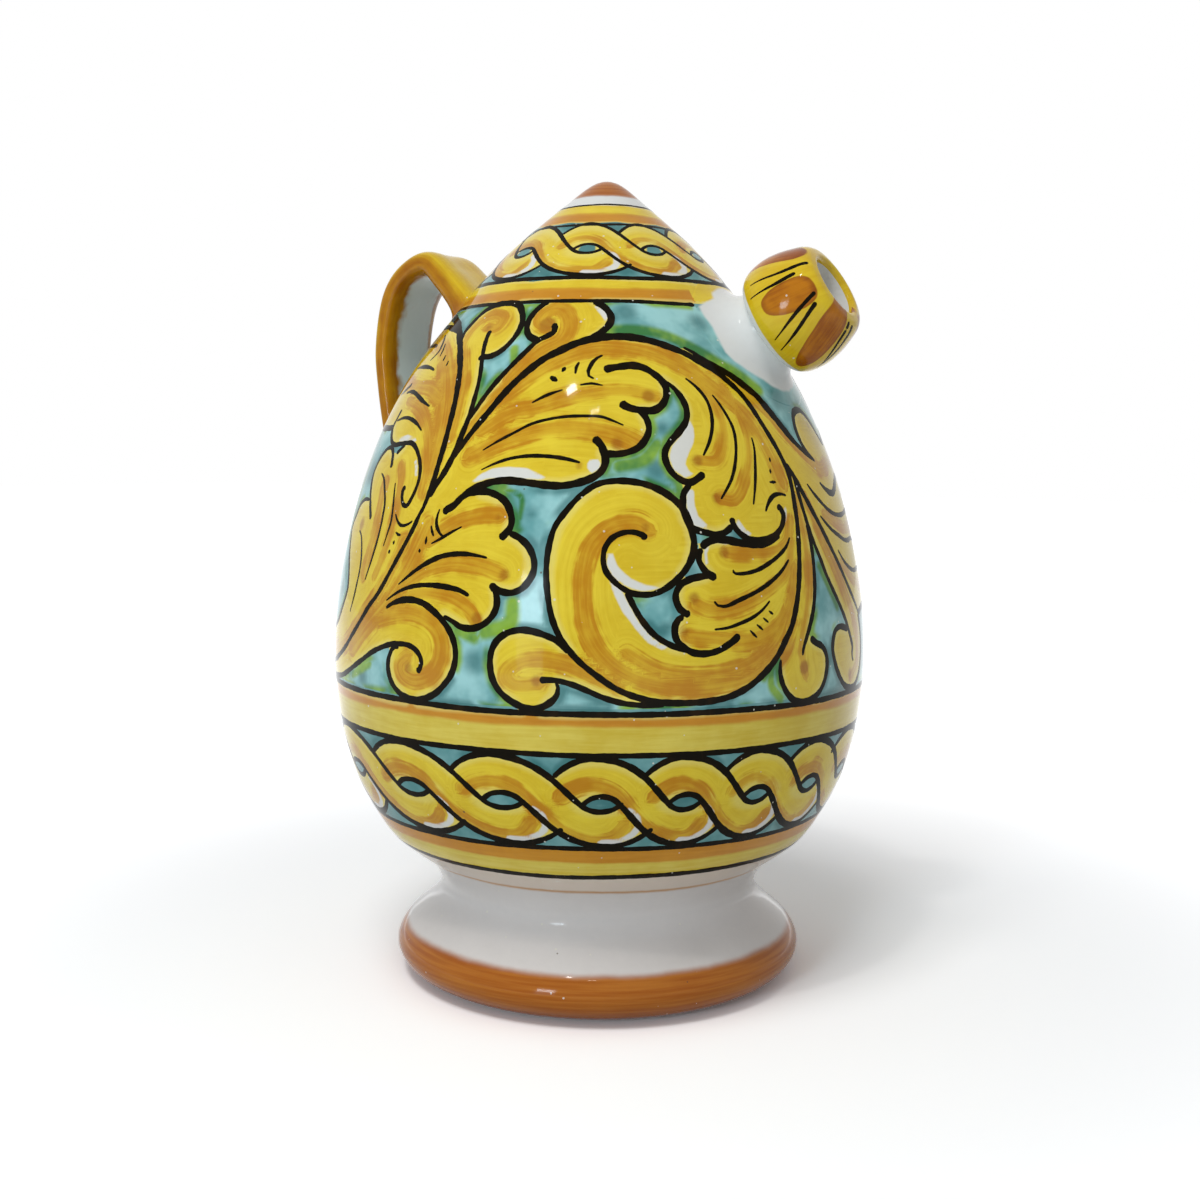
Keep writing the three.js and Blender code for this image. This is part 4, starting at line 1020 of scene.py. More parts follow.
def neckRise(radius, face):
    # How far the neck's foot stands over the jug, at a distance from the spout's axis.
    spread, rise = spout["neckCurve"]
    share = np.clip((radius - spout["neckRadius"]) / (spout["neckFoot"] - spout["neckRadius"]), 0, 1) ** spread
    return (spout["neckLength"] - spout["neckGap"] - face) * (1 - share) ** rise + spout["neckEdge"]


def jugPlace(angle, length, lift):
    # A place on the jug, or on the neck's foot where that spreads over it.
    place, normal = onJug(angle, length, lift)
    off = place - spoutOrigin
    x, y, face = off @ spoutDown, off @ spoutSide, off @ spoutAxis
    radius = np.hypot(x, y)
    over = (radius < spout["neckFoot"]) & (face > -30)
    place[over] += neckRise(radius[over], face[over])[:, None] * spoutAxis
    return place, normal


def jugRadius(angle, length):
    return np.interp(length, outLength, outLine[:, 0])


# Points across a line, as a share of its half width and a lift in mm. They run from its left edge to its
# right one, which turns the faces outwards.
lineShape = {
    "across": ((1, -0.06), (0.82, 0.045), (0, 0.06), (-0.82, 0.045), (-1, -0.06)),
    "weight": 1.2,           # the widths in the lists are taken times this
    "thinOver": 7.0, "thinShare": 0.4,
    "dotSwell": 0.32, "dotAt": 0.8, "dotLong": 0.9,
}


def layLine(angle, length, widths, ends, place, radiusOf, seed, closedLine=False, step=0.9, stretch=None):
    # One closed ribbon over a path told as angle and length on a round surface. Stretch widens it up the slope.
    run = runLength(place(angle, length, 0.0)[0])
    count = max(int(run[-1] / step), 5)
    at = np.linspace(0, run[-1], count + 1)
    if not closedLine:
        at[1:4] = at[0] + (at[4] - at[0]) * np.array([0.06, 0.2, 0.5])
        at[-4:-1] = at[-1] - (at[-1] - at[-5]) * np.array([0.5, 0.2, 0.06])
    angle, length = np.interp(at, run, angle), np.interp(at, run, length)
    widths = np.atleast_1d(widths)
    half = np.interp(at / run[-1], np.linspace(0, 1, len(widths)), widths) / 2
    half = half * (1 + 0.07 * np.sin(at * 0.55 + seed) + 0.05 * np.sin(at * 1.7 + seed * 2.3))
    if not closedLine:
        for mark, edge in ((ends[0], at), (ends[1], run[-1] - at)):
            if mark == "-":
                thinning = min(lineShape["thinOver"], run[-1] * lineShape["thinShare"])
                half = half * (0.5 + 0.5 * np.clip(edge / thinning, 0, 1))
            elif mark == "o":
                past = np.maximum(edge - lineShape["dotAt"], 0) / lineShape["dotLong"]
                half = half * (1 + lineShape["dotSwell"] * np.exp(-past ** 2))
        edge = np.minimum(at, run[-1] - at)
        half = half * np.sqrt(np.clip(1 - (1 - np.clip(edge / half, 0, 1)) ** 2, 0.004, 1))
    r = radiusOf(angle, length)
    dx, dy = np.gradient(np.radians(angle)) * r, np.gradient(length)
    size = np.hypot(dx, dy) + 1e-9
    nx, ny = -dy / size, dx / size * (1 if stretch is None else stretch(length))
    points, normals = [], []
    for off, lift in lineShape["across"]:
        p, n = place(angle + np.degrees(nx * off * half / np.maximum(r, 1)), length + ny * off * half, lift)
        points.append(p)
        normals.append(n)
    points, normals = np.stack(points, axis=1).reshape(-1, 3), np.stack(normals, axis=1).reshape(-1, 3)
    rings, count = len(at), len(lineShape["across"])
    if closedLine:
        points, normals = points[:-count], normals[:-count]
        rings -= 1
    faces = ringFaces(rings, count, looped=closedLine)
    if not closedLine:
        faces += [tuple(range(count))[::-1], tuple(range((rings - 1) * count, rings * count))]
    return points, normals, faces


def joinParts(name, parts):
    points, normals, faces, start = [], [], [], 0
    for p, n, f in parts:
        points.append(p)
        normals.append(n)
        faces += [tuple(i + start for i in face) for face in f]
        start += len(p)
    return makePiece(name, np.vstack(points), faces, np.vstack(normals))


def slopeStretch(length):
    # The widths of the painted lines were judged by height, and the shoulder slopes.
    rise = np.interp(length, outLength, slope[:, 1])
    return 1 / np.clip(rise, 0.8, 1)


def layScroll():
    parts = []
    for number, (width, ends, line) in enumerate(scrollLines):
        path = smoothCurve(line, 6)
        widths = np.atleast_1d(width) * lineShape["weight"]
        for turn in (0, 180):
            shake = 0.25 * np.sin(np.linspace(0, 9, len(path)) + number + turn)
            parts.append(layLine(path[:, 0] + turn + (shake if turn else 0), lengthAt(path[:, 1]), widths, ends,
                                 jugPlace, jugRadius, number + turn, stretch=slopeStretch))
    return joinParts("scrollLines", parts)


def layPlaits():
    parts = []
    for band in plait.values():
        widths = np.array([0.8, 1, 1.1, 0.8]) * band["lineWidth"] * lineShape["weight"]
        for eye in range(len(band["eyes"])):
            for under in (False, True):
                path = smoothCurve(strandLine(band, eye, under), 6)
                parts.append(layLine(path[:, 0], lengthAt(path[:, 1]), widths, "==", jugPlace, jugRadius,
                                     eye + under * 7, stretch=slopeStretch))
    return joinParts("plaitLines", parts)


# Level lines round the jug: height, width, wobble. The one over the scroll stops at the spout.
levelLines = {
    "overScroll": (233.8, 1.8, 0.25), "stops": (84.5, 395.5),
    "below": [(51.8, 3.0, 0.35), (62.8, 2.2, 0.3), (94.4, 2.0, 0.35), (107.3, 2.1, 0.35)],
    "above": [(242.0, 2.0, 0.25), (261.5, 1.5, 0.2), (269.4, 1.1, 0.2)],
}


def layBands():
    parts = []
    rings = [*levelLines["below"], levelLines["overScroll"], *levelLines["above"]]
    for number, (z, width, wobble) in enumerate(rings):
        stops = z == levelLines["overScroll"][0]
        start, end = levelLines["stops"] if stops else (0, 360)
        angle = np.linspace(start, end, 400)
        turn = np.radians(angle)
        height = z + wobble * (np.sin(2 * turn + number) + 0.5 * np.sin(5 * turn + 2 * number)
                               + 0.3 * np.sin(11 * turn + 3 * number)) / 1.6
        parts.append(layLine(angle, lengthAt(height), width, "oo" if stops else "==", jugPlace, jugRadius,
                             number if stops else 0, closedLine=not stops, step=1.6))
    return joinParts("bandLines", parts)


lines = [layScroll(), layPlaits(), layBands()]
print("lines", sum(len(piece.data.polygons) for piece in lines), "faces")


# Spout

def turnPiece(name, profile, sides, place):
    # A closed ring of (radius, height) points turned round an axis.
    angle = np.arange(sides) * 360 / sides
    profile = np.array(profile, float)
    points = np.concatenate([place(angle, np.full(sides, r), np.full(sides, u)) for r, u in profile])
    piece = makePiece(name, points, ringFaces(len(profile), sides, looped=True))
    faceOut(piece)
    return piece


def makeNeck():
    sides, steps = 144, 40
    angle = np.arange(sides) * 360 / sides
    turn = np.radians(angle)
    top, sunk = spout["neckLength"] - spout["neckGap"], spout["neckSunk"]
    rings, under = [], []

    def ring(radius, height):
        face = jugUnderSpout(radius * np.cos(turn), radius * np.sin(turn))
        rings.append(spoutPoint(angle, np.full(sides, radius), height(face)))
        under.append(spoutPoint(angle, np.full(sides, radius), face))

    for k in range(steps + 1):
        share = k / steps
        radius = spout["neckRadius"] + (spout["neckFoot"] - spout["neckRadius"]) * share ** spout["neckGather"]
        ring(radius, lambda face: face + neckRise(radius, face))
    ring(spout["neckFoot"] + 0.3, lambda face: face - 0.5)
    ring(spout["neckUnder"], lambda face: face - sunk)
    ring(spout["bore"], lambda face: face - sunk)
    ring(spout["bore"], lambda face: np.full(sides, top))
    neck = makePiece("neck", lean(np.concatenate(rings)), ringFaces(len(rings), sides, looped=True))
    faceOut(neck)
    under = np.concatenate(under)
    paintSkin(neck, under, np.ones(len(under), bool))
    return neck


def bulbProfile():
    length, wide = spout["bulbLength"], [spout["bulbRadius"], spout["bulbLength"] * 0.36]
    lip = [spout["lip"], length]
    outside = [[14.4, 0], *between([14, 0], [wide[0], length], [[.5, .04], [.83, .14]]), wide,
               *between(wide, lip, [[.08, .33], [.29, .65], [.5, .86], [.73, .96]]), [11.9, length - 0.05]]
    return smoothCurve(outside, 8)


bulbLine = bulbProfile()
bulbRun = runLength(bulbLine)
bulbSlope = np.gradient(bulbLine, axis=0)
bulbSlope /= np.linalg.norm(bulbSlope, axis=1)[:, None]
bulbStart = spout["neckLength"]


def bulbPlace(angle, length, lift):
    r = np.interp(length, bulbRun, bulbLine[:, 0])
    u = np.interp(length, bulbRun, bulbLine[:, 1])
    nr = np.interp(length, bulbRun, bulbSlope[:, 1])
    nu = -np.interp(length, bulbRun, bulbSlope[:, 0])
    turn = np.radians(angle)
    place = spoutPoint(angle, r + nr * lift, u + nu * lift + bulbStart)
    normal = nu[..., None] * spoutAxis + (nr * np.cos(turn))[..., None] * spoutDown \
        + (nr * np.sin(turn))[..., None] * spoutSide
    return place, normal


def bulbRadius(angle, length):
    return np.interp(length, bulbRun, bulbLine[:, 0])


bulbPaint = {
    "petals": [(208, 14, 11.0, 5.2), (270, 15.6, 9.0, 5.5), (327, 16.4, 11.8, 5.3), (25, 15.5, 11.2, 5.2),
               (86, 15, 10, 5.2), (147, 15.5, 10, 5.2)],        # angle, height, half length, half width
    "lean": [0.7, 0.35, -0.75, 0.1, 0.1, -0.1],                 # degrees for each mm of height
    "swell": 0.16, "squareness": 2.5,                           # of a petal's shape
    "mouthRadius": 9.75, "whiteTo": 2.6,
    "pairs": [[(236, 5.7), (242, 16.4), (240, 25.1)], [(250, 4.3), (252, 14.3), (250, 20.9)],
              [(298, 4.9), (288, 15), (280, 23.6)], [(310, 4.3), (300, 14.3), (290, 22.3)],
              [(0, 7.5), (-13, 18.8), (-17, 25.4)], [(-2, 8.5), (-4, 18.5), (-7, 25.1)],
              [(52, 5), (54, 15), (50, 24)], [(62, 5), (60, 15), (56, 23)],
              [(112, 5), (117, 15), (120, 24)], [(122, 5), (124, 15), (128, 22)],
              [(176, 5), (178, 15), (182, 24)], [(186, 6), (186, 15), (188, 23)]],
}


def makeBulb():
    length = spout["bulbLength"]
    inside = [[11.5, length], [10.9, length - 0.08], [10.3, length - 0.4], [9.9, length - 1.0],
              [9.6, length - 2.0], [9.2, length - 4.0], [8.7, 0.75 * length],
              *([spout["bore"], share * length] for share in (0.6, 0.3, 0.0))]
    profile = [[r, u + bulbStart] for r, u in [*bulbLine.tolist(), *inside]]
    bulb = turnPiece("mouthpiece", profile, 128, spoutPoint)
    place = pointsOf(bulb) - spoutOrigin
    u = place @ spoutAxis - bulbStart
    x, y = place @ spoutDown, place @ spoutSide
    r, angle = np.hypot(x, y), np.degrees(np.arctan2(y, x)) % 360
    petal = np.full(len(u), -1.0)
    stroke = np.stack([np.radians(angle) * 15, u, angle * 0], axis=1)
    for number, (ca, cu, halfLong, halfWide) in enumerate(bulbPaint["petals"]):
        off = (angle - ca - bulbPaint["lean"][number] * (u - cu) + 180) % 360 - 180
        across = np.radians(off) * r
        wide = halfWide * (1 + bulbPaint["swell"] * (u - cu) / halfLong)
        power = bulbPaint["squareness"]
        cover = 1 - (np.abs(across / wide) ** power + np.abs((u - cu) / halfLong) ** power) ** (1 / power)
        better = cover > petal
        petal[better] = cover[better]
        stroke[better] = np.stack([across, u, np.full(len(u), number + 1.0)], axis=1)[better]
    inMouth = (r < bulbPaint["mouthRadius"]) & (u < length + 1)
    keepValue(bulb, "petal", np.where(inMouth, -1, petal))
    keepValue(bulb, "white", np.where(inMouth, 2.0, bulbPaint["whiteTo"] - u))
    keepValue(bulb, "stroke", stroke)
    return bulb


def layBulbLines():
    parts = []
    for number, line in enumerate(bulbPaint["pairs"]):
        path = smoothCurve(line, 8)
        run = np.interp(path[:, 1], bulbLine[:, 1], bulbRun)
        parts.append(layLine(path[:, 0], run, [0.7, 1.0, 1.4, 1.6], "-=", bulbPlace, bulbRadius, number))
    return joinParts("mouthpieceLines", parts)


neck = makeNeck()
bulb = makeBulb()
bulbLines = layBulbLines()
print("spout")


# Handle

handle = {
    "topSeat": [radiusAt(235), 235.0], "lowerSeat": [radiusAt(183), 183.0],
    "crest": [68.0, 254.6], "reach": [87.7, 224.0],
    "width": 29.5, "rootWidth": 32.0,
    "thickness": 9.0, "rootThickness": 14.5, "lowerThickness": 7.5,
    "topRoot": [(-7, -7), (1.5, 4.5)],       # points beside the seats, outwards and up
    "lowerRoot": (-7, -10.5),
    "sunk": 3.5,             # how deep its ends stand in the wall
    "section": 0.62,         # the power that makes the strap's section flat with round edges
    "flareReach": 3.2, "flareWide": 0.10, "flareThick": 0.32,
    "groove": 0.9, "grooveWide": 0.30, "sides": 56, "steps": 220,
}


def makeHandle():
    top, low, crest, reach = handle["topSeat"], handle["lowerSeat"], handle["crest"], handle["reach"]
    out, down = handle["lowerRoot"]
    knots = [*([top[0] + dx, top[1] + dz] for dx, dz in handle["topRoot"]),
             *between(top, crest, [[.55, .68]]), crest,
             *between(crest, reach, [[.47, .11], [.8, .37]]), reach,
             *between(reach, low, [[.14, .35], [.5, .7]]), low, [low[0] + out, low[1] + down]]
    path = smoothCurve(knots, 24)
    run = runLength(path)
    at = np.linspace(0, run[-1], handle["steps"])
    path = np.stack([np.interp(at, run, path[:, 0]), np.interp(at, run, path[:, 1])], axis=1)
    depth = path[:, 0] - radiusAt(path[:, 1])
    first, last = np.nonzero(depth > -handle["sunk"])[0][[0, -1]]
    share = at / run[-1]
    slopeHere = np.gradient(path, axis=0)
    slopeHere /= np.linalg.norm(slopeHere, axis=1)[:, None]
    outward = np.stack([-slopeHere[:, 1], slopeHere[:, 0]], axis=1)
    turn = np.linspace(0, 2 * np.pi, handle["sides"], endpoint=False)
    rings, across, face, along = [], [], [], []
    for i in range(first, last + 1):
        s = share[i]
        width = handle["width"] + (handle["rootWidth"] - handle["width"]) * abs(2 * s - 1) ** 3
        thick = np.interp(s, [0, 1 / 3, 1],
                          [handle["rootThickness"], handle["thickness"], handle["lowerThickness"]])
        flare = math.exp(-max(depth[i], 0) / handle["flareReach"])
        width, thick = width * (1 + handle["flareWide"] * flare), thick * (1 + handle["flareThick"] * flare)
        c, n = np.cos(turn), np.sin(turn)
        y = np.sign(c) * np.abs(c) ** handle["section"] * width / 2
        out = np.sign(n) * np.abs(n) ** handle["section"] * thick / 2
        hollow = np.exp(-(y / (handle["grooveWide"] * width)) ** 2) * handle["groove"] * (1 - 0.7 * flare)
        out = np.where(n > 0, out - hollow * np.clip(n * 2, 0, 1), out + 0.25 * hollow * np.clip(-n * 2, 0, 1))
        ring = np.stack([-(path[i, 0] + outward[i, 0] * out), y, path[i, 1] + outward[i, 1] * out], axis=1)
        rings.append(ring)
        across.append(y / (width / 2))
        face.append(n)
        along.append(np.full(len(turn), at[i]))
    count = len(turn)
    lastRing = range((len(rings) - 1) * count, len(rings) * count)
    faces = ringFaces(len(rings), count) + [tuple(range(count)), tuple(lastRing)[::-1]]
    piece = makePiece("strapHandle", np.concatenate(rings), faces)
    faceOut(piece)
    across, face, along = np.concatenate(across), np.concatenate(face), np.concatenate(along)
    keepValue(piece, "face", face)
    keepValue(piece, "stroke", np.stack([across * 14 + face * 5, along, face * 0], axis=1))
    return piece


handlePiece = makeHandle()
print("handle")


# Floor with the filling tube, left unglazed

tube = {
    "bore": 8.5, "wall": 4.0, "topWall": 3.0, "foot": 44.0, "top": 246.0, "ripple": 0.12,
    "floor": [[30, 32.0], [50.1, 32.0], [50.3, 32.3], [51.4, 35], [53.0, 38.4], [52.6, 39.0], [40, 39.0],
              [24, 39.1], [16.5, 39.8], [13.6, 41.4]],
}


def makeTube():
    heights = np.linspace(tube["foot"], tube["top"] - 1, 110)
    wall = np.interp(heights, [tube["foot"], tube["top"]], [tube["wall"], tube["topWall"]])
    outside = [[tube["bore"] + w + tube["ripple"] * math.sin(h * 1.15), h] for w, h in zip(wall, heights)]
    profile = [[tube["bore"] + 0.5, 32.0], *tube["floor"], *outside,
               [tube["bore"] + tube["topWall"] - 0.6, tube["top"]], [tube["bore"] + 0.6, tube["top"]],
               [tube["bore"], tube["top"] - 0.7], [tube["bore"], 32.6]]

    def upright(angle, radius, height):
        turn = np.radians(angle)
        return np.stack([radius * np.cos(turn), radius * np.sin(turn), height], axis=-1)

    return turnPiece("floorTube", profile, 72, upright)


tubePiece = makeTube()
print("floor and tube")


# Finishes

paint = {
    "white": tone(228, 228, 224), "footWhite": tone(222, 216, 211), "cream": tone(224, 209, 192),
    "clay": tone(186, 128, 92),
    "yellow": tone(231, 199, 40), "yellowThin": tone(240, 224, 124), "yellowDeep": tone(218, 176, 22),
    "bandYellow": tone(222, 196, 66),
    "ochre": tone(197, 129, 4), "ochreThin": tone(221, 175, 36), "ochreDeep": tone(158, 84, 2),
    "bandOchre": tone(206, 138, 22),
    "ground": tone(104, 166, 166), "groundThin": tone(164, 216, 214), "groundDeep": tone(48, 110, 110),
    "green": tone(142, 182, 28), "greenDeep": tone(54, 122, 46),
    "black": tone(20, 16, 7), "brown": tone(64, 42, 18),
    "faintBrown": tone(196, 150, 104),
    "rust": tone(166, 88, 14), "rustDeep": tone(132, 62, 8), "rustThin": tone(186, 112, 34),
    "petalThin": tone(196, 120, 8), "petal": tone(154, 78, 2), "petalDeep": tone(118, 50, 2),
    "bareClay": tone(190, 132, 96), "bareClayDeep": tone(164, 104, 72), "grit": tone(212, 168, 132),
}


def heightRamp(tree, height, low, high, stops):
    # Colours by height: each stop is (height, colour); stops stand in rising order.
    share = addNode(tree, "MapRange", {0: height, 1: low, 2: high}).outputs[0]
    ramp = addNode(tree, "ValToRGB", {0: share})
    points = ramp.color_ramp.elements
    for i, (z, colour) in enumerate(stops):
        at = (z - low) / (high - low)
        point = points[i] if i < 2 else points.new(at)
        point.position, point.color = at, colour
    return ramp.outputs[0]


def bandStops(edges):
    # Flat bands with soft borders: (start height, softness, colour) for each band.
    stops = [(edges[0][0], edges[0][2])]
    for (z, soft, colour), before in zip(edges[1:], edges[:-1]):
        stops += [(z - soft / 2, before[2]), (z + soft / 2, colour)]
    return stops


def maskFrom(tree, name, noise, share, low, high):
    # A soft mask from a kept distance, with its border shaken by the noise.
    return rampUp(tree, addShare(tree, readValue(tree, name), noise, share), low, high)


def makePotGlaze():
    material, tree, shader = newMaterial("paintedGlaze")
    p = paint
    place = addNode(tree, "NewGeometry").outputs["Position"]
    stroke = readValue(tree, "stroke", "Vector")
    height = readValue(tree, "height")
    ground = readValue(tree, "ground")
    waver = noiseAbout(tree, place, 30.0)
    fine = noiseAbout(tree, place, 190.0)
    level = calc(tree, "ADD", height, addShare(tree, calc(tree, "MULTIPLY", waver, 1.6), fine, 0.5))
    halfway, top = 112.0, jug["height"]
    low = heightRamp(tree, level, 0, halfway, bandStops([
        (0, 0, p["rust"]), (17.6, 2.6, p["footWhite"]), (43.4, 0.6, p["faintBrown"]), (44.5, 0.7, p["cream"]),
        (51.8, 0.4, p["bandYellow"]), (57.8, 0.8, p["bandOchre"]), (63.0, 0.4, p["yellow"]),
        (94.6, 0.3, p["bandYellow"]), (103.4, 0.9, p["bandOchre"]), (107.3, 0.3, p["yellow"])]))
    high = heightRamp(tree, level, halfway, top, bandStops([
        (halfway, 0, p["yellow"]), (233.8, 0.4, p["bandOchre"]), (238.2, 0.6, p["yellow"]),
        (242.0, 0.3, p["yellow"]), (261.6, 0.4, p["bandOchre"]), (265.7, 0.6, p["yellow"]),
        (269.3, 0.4, p["white"]), (273.3, 1.0, p["rust"])]))
    base = blendColour(tree, calc(tree, "GREATER_THAN", height, halfway), low, high)

    # Brush streaks: level ones in the bands, along the stroke in the leaves
    lighter = blendColour(tree, 1.0, base, (1.10, 1.16, 1.9, 1), "MULTIPLY")
    darker = blendColour(tree, 1.0, base, (0.93, 0.88, 0.72, 1), "MULTIPLY")
    washed = brush(tree, stroke, lighter, darker, 0.75, 0.8)
    plain = calc(tree, "MAXIMUM", rampDown(tree, level, 51.0, 52.2), rampUp(tree, level, 269.0, 269.8))
    painted = layOver(tree, washed["Color"], base, plain)

    leaf = calc(tree, "MULTIPLY", ground, -1.0)
    paleEdge = rampDown(tree, addShare(tree, leaf, waver, 2.5), 1.1, 3.2)
    painted = layOver(tree, painted, p["yellowThin"], paleEdge, 0.55)

    ochre = brush(tree, stroke, p["ochreThin"], p["ochre"], 0.95, 1.2)
    cover = addShare(tree, readValue(tree, "ochre"), waver, 0.5)
    cover = addShare(tree, cover, calc(tree, "SUBTRACT", ochre["Density"], 0.5), 0.5)
    painted = layOver(tree, painted, ochre["Color"], rampUp(tree, cover, 0.2, 0.6), 0.95)
    painted = layOver(tree, painted, p["ochreDeep"], maskFrom(tree, "dab", waver, 2.2, 0.1, 0.7), 0.62)
    painted = layOver(tree, painted, p["white"], maskFrom(tree, "bare", fine, 0.7, -0.25, 0.45), 0.92)

    # The ground between the leaves: pooled and darker near them in places, with green brushed in
    panelBottom, panelTop = 109.0, 233.0
    wash = brush(tree, place, p["groundThin"], p["ground"], 0.2, 1.5)
    water = layOver(tree, wash["Color"], p["groundDeep"], maskFrom(tree, "pool", waver, 1.4, 0.0, 0.9), 0.7)
    cloud = noiseAt(tree, place, 42.0)
    nearLeaf = rampDown(tree, addShare(tree, ground, waver, 2.6), 1.6, 3.6)
    deeper = calc(tree, "MULTIPLY", nearLeaf, rampDown(tree, cloud, 0.42, 0.52))
    water = layOver(tree, water, p["groundDeep"], deeper, 0.7)
    inPanel = calc(tree, "MULTIPLY", calc(tree, "GREATER_THAN", height, panelBottom),
                   calc(tree, "LESS_THAN", height, panelTop))
    water = layOver(tree, water, p["groundDeep"], calc(tree, "SUBTRACT", 1.0, inPanel), 0.5)
    fringe = calc(tree, "MULTIPLY", calc(tree, "MULTIPLY", nearLeaf, inPanel), rampUp(tree, cloud, 0.5, 0.58))
    leafy = calc(tree, "MAXIMUM", maskFrom(tree, "green", waver, 1.0, -0.1, 0.7), fringe)
    green = brush(tree, place, p["green"], p["greenDeep"], 0.2, 2.0)
    water = layOver(tree, water, green["Color"], leafy, 0.92)
    painted = layOver(tree, painted, water, rampUp(tree, ground, -0.15, 0.15))

    shaken = addShare(tree, calc(tree, "MULTIPLY", waver, 3.0), fine, 0.8)
    patch = rampUp(tree, calc(tree, "ADD", readValue(tree, "patch"), shaken), -0.7, 0.7)
    painted = layOver(tree, painted, p["white"], patch)

    # Foot and tip: rust colour brushed round, darker towards the bottom of the foot
    swirl = addNode(tree, "VectorMath", {0: place, 1: (30.0, 30.0, 900.0)}, operation="MULTIPLY").outputs[0]
    streaks = rampUp(tree, noiseAt(tree, swirl, 1.0, 4.0), 0.3, 0.7)
    rust = blendColour(tree, streaks, p["rustThin"], p["rust"])
    rustDarkerLow = layOver(tree, rust, p["rustDeep"], rampDown(tree, level, 0.5, 9.0))
    painted = layOver(tree, painted, rustDarkerLow, rampDown(tree, level, 16.4, 18.6))
    painted = layOver(tree, painted, rust, rampUp(tree, level, 272.6, 274.2))

    painted = layOver(tree, painted, p["clay"], readValue(tree, "inside"))
    finishGlaze(tree, shader, painted, mottle=0.05, pinholes=0.2, smooth=0.045, bump=0.2)
    return material


def makeLineGlaze():
    # The lines have a lower gloss than the rest, so that they stay dark.
    material, tree, shader = newMaterial("blackLineGlaze")
    place = addNode(tree, "NewGeometry").outputs["Position"]
    thin = rampUp(tree, noiseAt(tree, place, 120.0, 3.0, 0.6), 0.5, 0.78)
    colour = layOver(tree, paint["black"], paint["brown"], thin, 0.35)
    finishGlaze(tree, shader, colour, mottle=0.12, pinholes=0.0, smooth=0.08, bump=0.22, gloss=0.04)
    return material


def makeBulbGlaze():
    material, tree, shader = newMaterial("spoutGlaze")
    place = addNode(tree, "NewGeometry").outputs["Position"]
    stroke = readValue(tree, "stroke", "Vector")
    waver = noiseAbout(tree, place, 60.0)
    fine = noiseAbout(tree, place, 260.0)
    yellow = brush(tree, stroke, paint["yellow"], paint["yellowDeep"], 0.7, 1.0)
    petal = brush(tree, stroke, paint["petalThin"], paint["petal"], 0.9, 1.6)
    inPetal = addShare(tree, addShare(tree, readValue(tree, "petal"), waver, 0.16), fine, 0.05)
    edge = calc(tree, "MULTIPLY", rampUp(tree, inPetal, 0.0, 0.03), rampDown(tree, inPetal, 0.05, 0.28))
    petalColour = layOver(tree, petal["Color"], paint["petalDeep"], edge, 0.4)
    colour = layOver(tree, yellow["Color"], petalColour, rampUp(tree, inPetal, -0.01, 0.05))
    colour = layOver(tree, colour, paint["white"], maskFrom(tree, "white", waver, 1.4, -0.25, 0.25))
    finishGlaze(tree, shader, colour, mottle=0.05, pinholes=0.04, smooth=0.06, bump=0.16)
    return material


def makeHandleGlaze():
    material, tree, shader = newMaterial("handleGlaze")
    place = addNode(tree, "NewGeometry").outputs["Position"]
    stroke = readValue(tree, "stroke", "Vector")
    waver = noiseAbout(tree, place, 55.0, 3.0)
    fine = noiseAbout(tree, place, 230.0)
    yellow = brush(tree, stroke, paint["yellow"], paint["yellowDeep"], 0.9, 0.8)
    ochre = brush(tree, stroke, paint["ochre"], paint["ochreDeep"], 0.8, 0.8)
    # Face is 1 on the outside of the strap, 0 on its edges and -1 on the inside.
    face = readValue(tree, "face")
    edge = calc(tree, "SUBTRACT", calc(tree, "MULTIPLY", waver, 0.9), face)
    colour = layOver(tree, yellow["Color"], ochre["Color"], rampUp(tree, edge, -0.62, 0.0), 0.92)
    shaken = addShare(tree, calc(tree, "MULTIPLY", waver, 0.5), fine, 0.15)
    inner = addShare(tree, shaken, face, -1.0)
    colour = layOver(tree, colour, paint["white"], rampUp(tree, inner, 0.84, 0.96))
    finishGlaze(tree, shader, colour, mottle=0.06, pinholes=0.6, smooth=0.05, bump=0.22)
    return material


def makeBareClay():
    material, tree, shader = newMaterial("bareClay")
    place = addNode(tree, "NewGeometry").outputs["Position"]
    cloud = noiseAt(tree, place, 55.0, 4.0, 0.6)
    grit = noiseAt(tree, place, 900.0, 2.0, 0.7)
    colour = blendColour(tree, rampUp(tree, cloud, 0.3, 0.7), paint["bareClay"], paint["bareClayDeep"])
    colour = blendColour(tree, rampUp(tree, grit, 0.62, 0.75), colour, paint["grit"])
    tree.links.new(colour, shader.inputs["Base Color"])
    tree.links.new(calc(tree, "MULTIPLY_ADD", grit, 0.15, 0.72), shader.inputs["Roughness"])
    raised = addNode(tree, "Bump", {"Height": grit, "Strength": 0.4, "Distance": 0.0004})
    tree.links.new(raised.outputs[0], shader.inputs["Normal"])
    return material


potGlaze = makePotGlaze()
finishes = [(pot, potGlaze, "painted_glaze"), (neck, potGlaze, "white_glaze"),
            (bulb, makeBulbGlaze(), "spout_glaze"), (handlePiece, makeHandleGlaze(), "handle_glaze"),
            (tubePiece, makeBareClay(), "bare_clay")]
lineGlaze = makeLineGlaze()
finishes += [(piece, lineGlaze, "painted_glaze") for piece in lines] + [(bulbLines, lineGlaze, "spout_glaze")]
for piece, material, slotName in finishes:
    piece.data.materials.clear()
    piece.data.materials.append(material)
    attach(piece, "root")
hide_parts("foot_ring", "belly", "crown")
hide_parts("spout_neck")
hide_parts("spout_mouthpiece")
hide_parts("handle")
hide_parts("floor_tube")
print("finishes")


# Floor, light and camera

camera = {
    "distance": 0.5374, "height": 0.1852, "pitch": 5.58, "roll": 0.401, "yaw": 0.006, "across": 43.603,
    "stands": 30.0,          # degrees it is turned round the jug from -Y
}


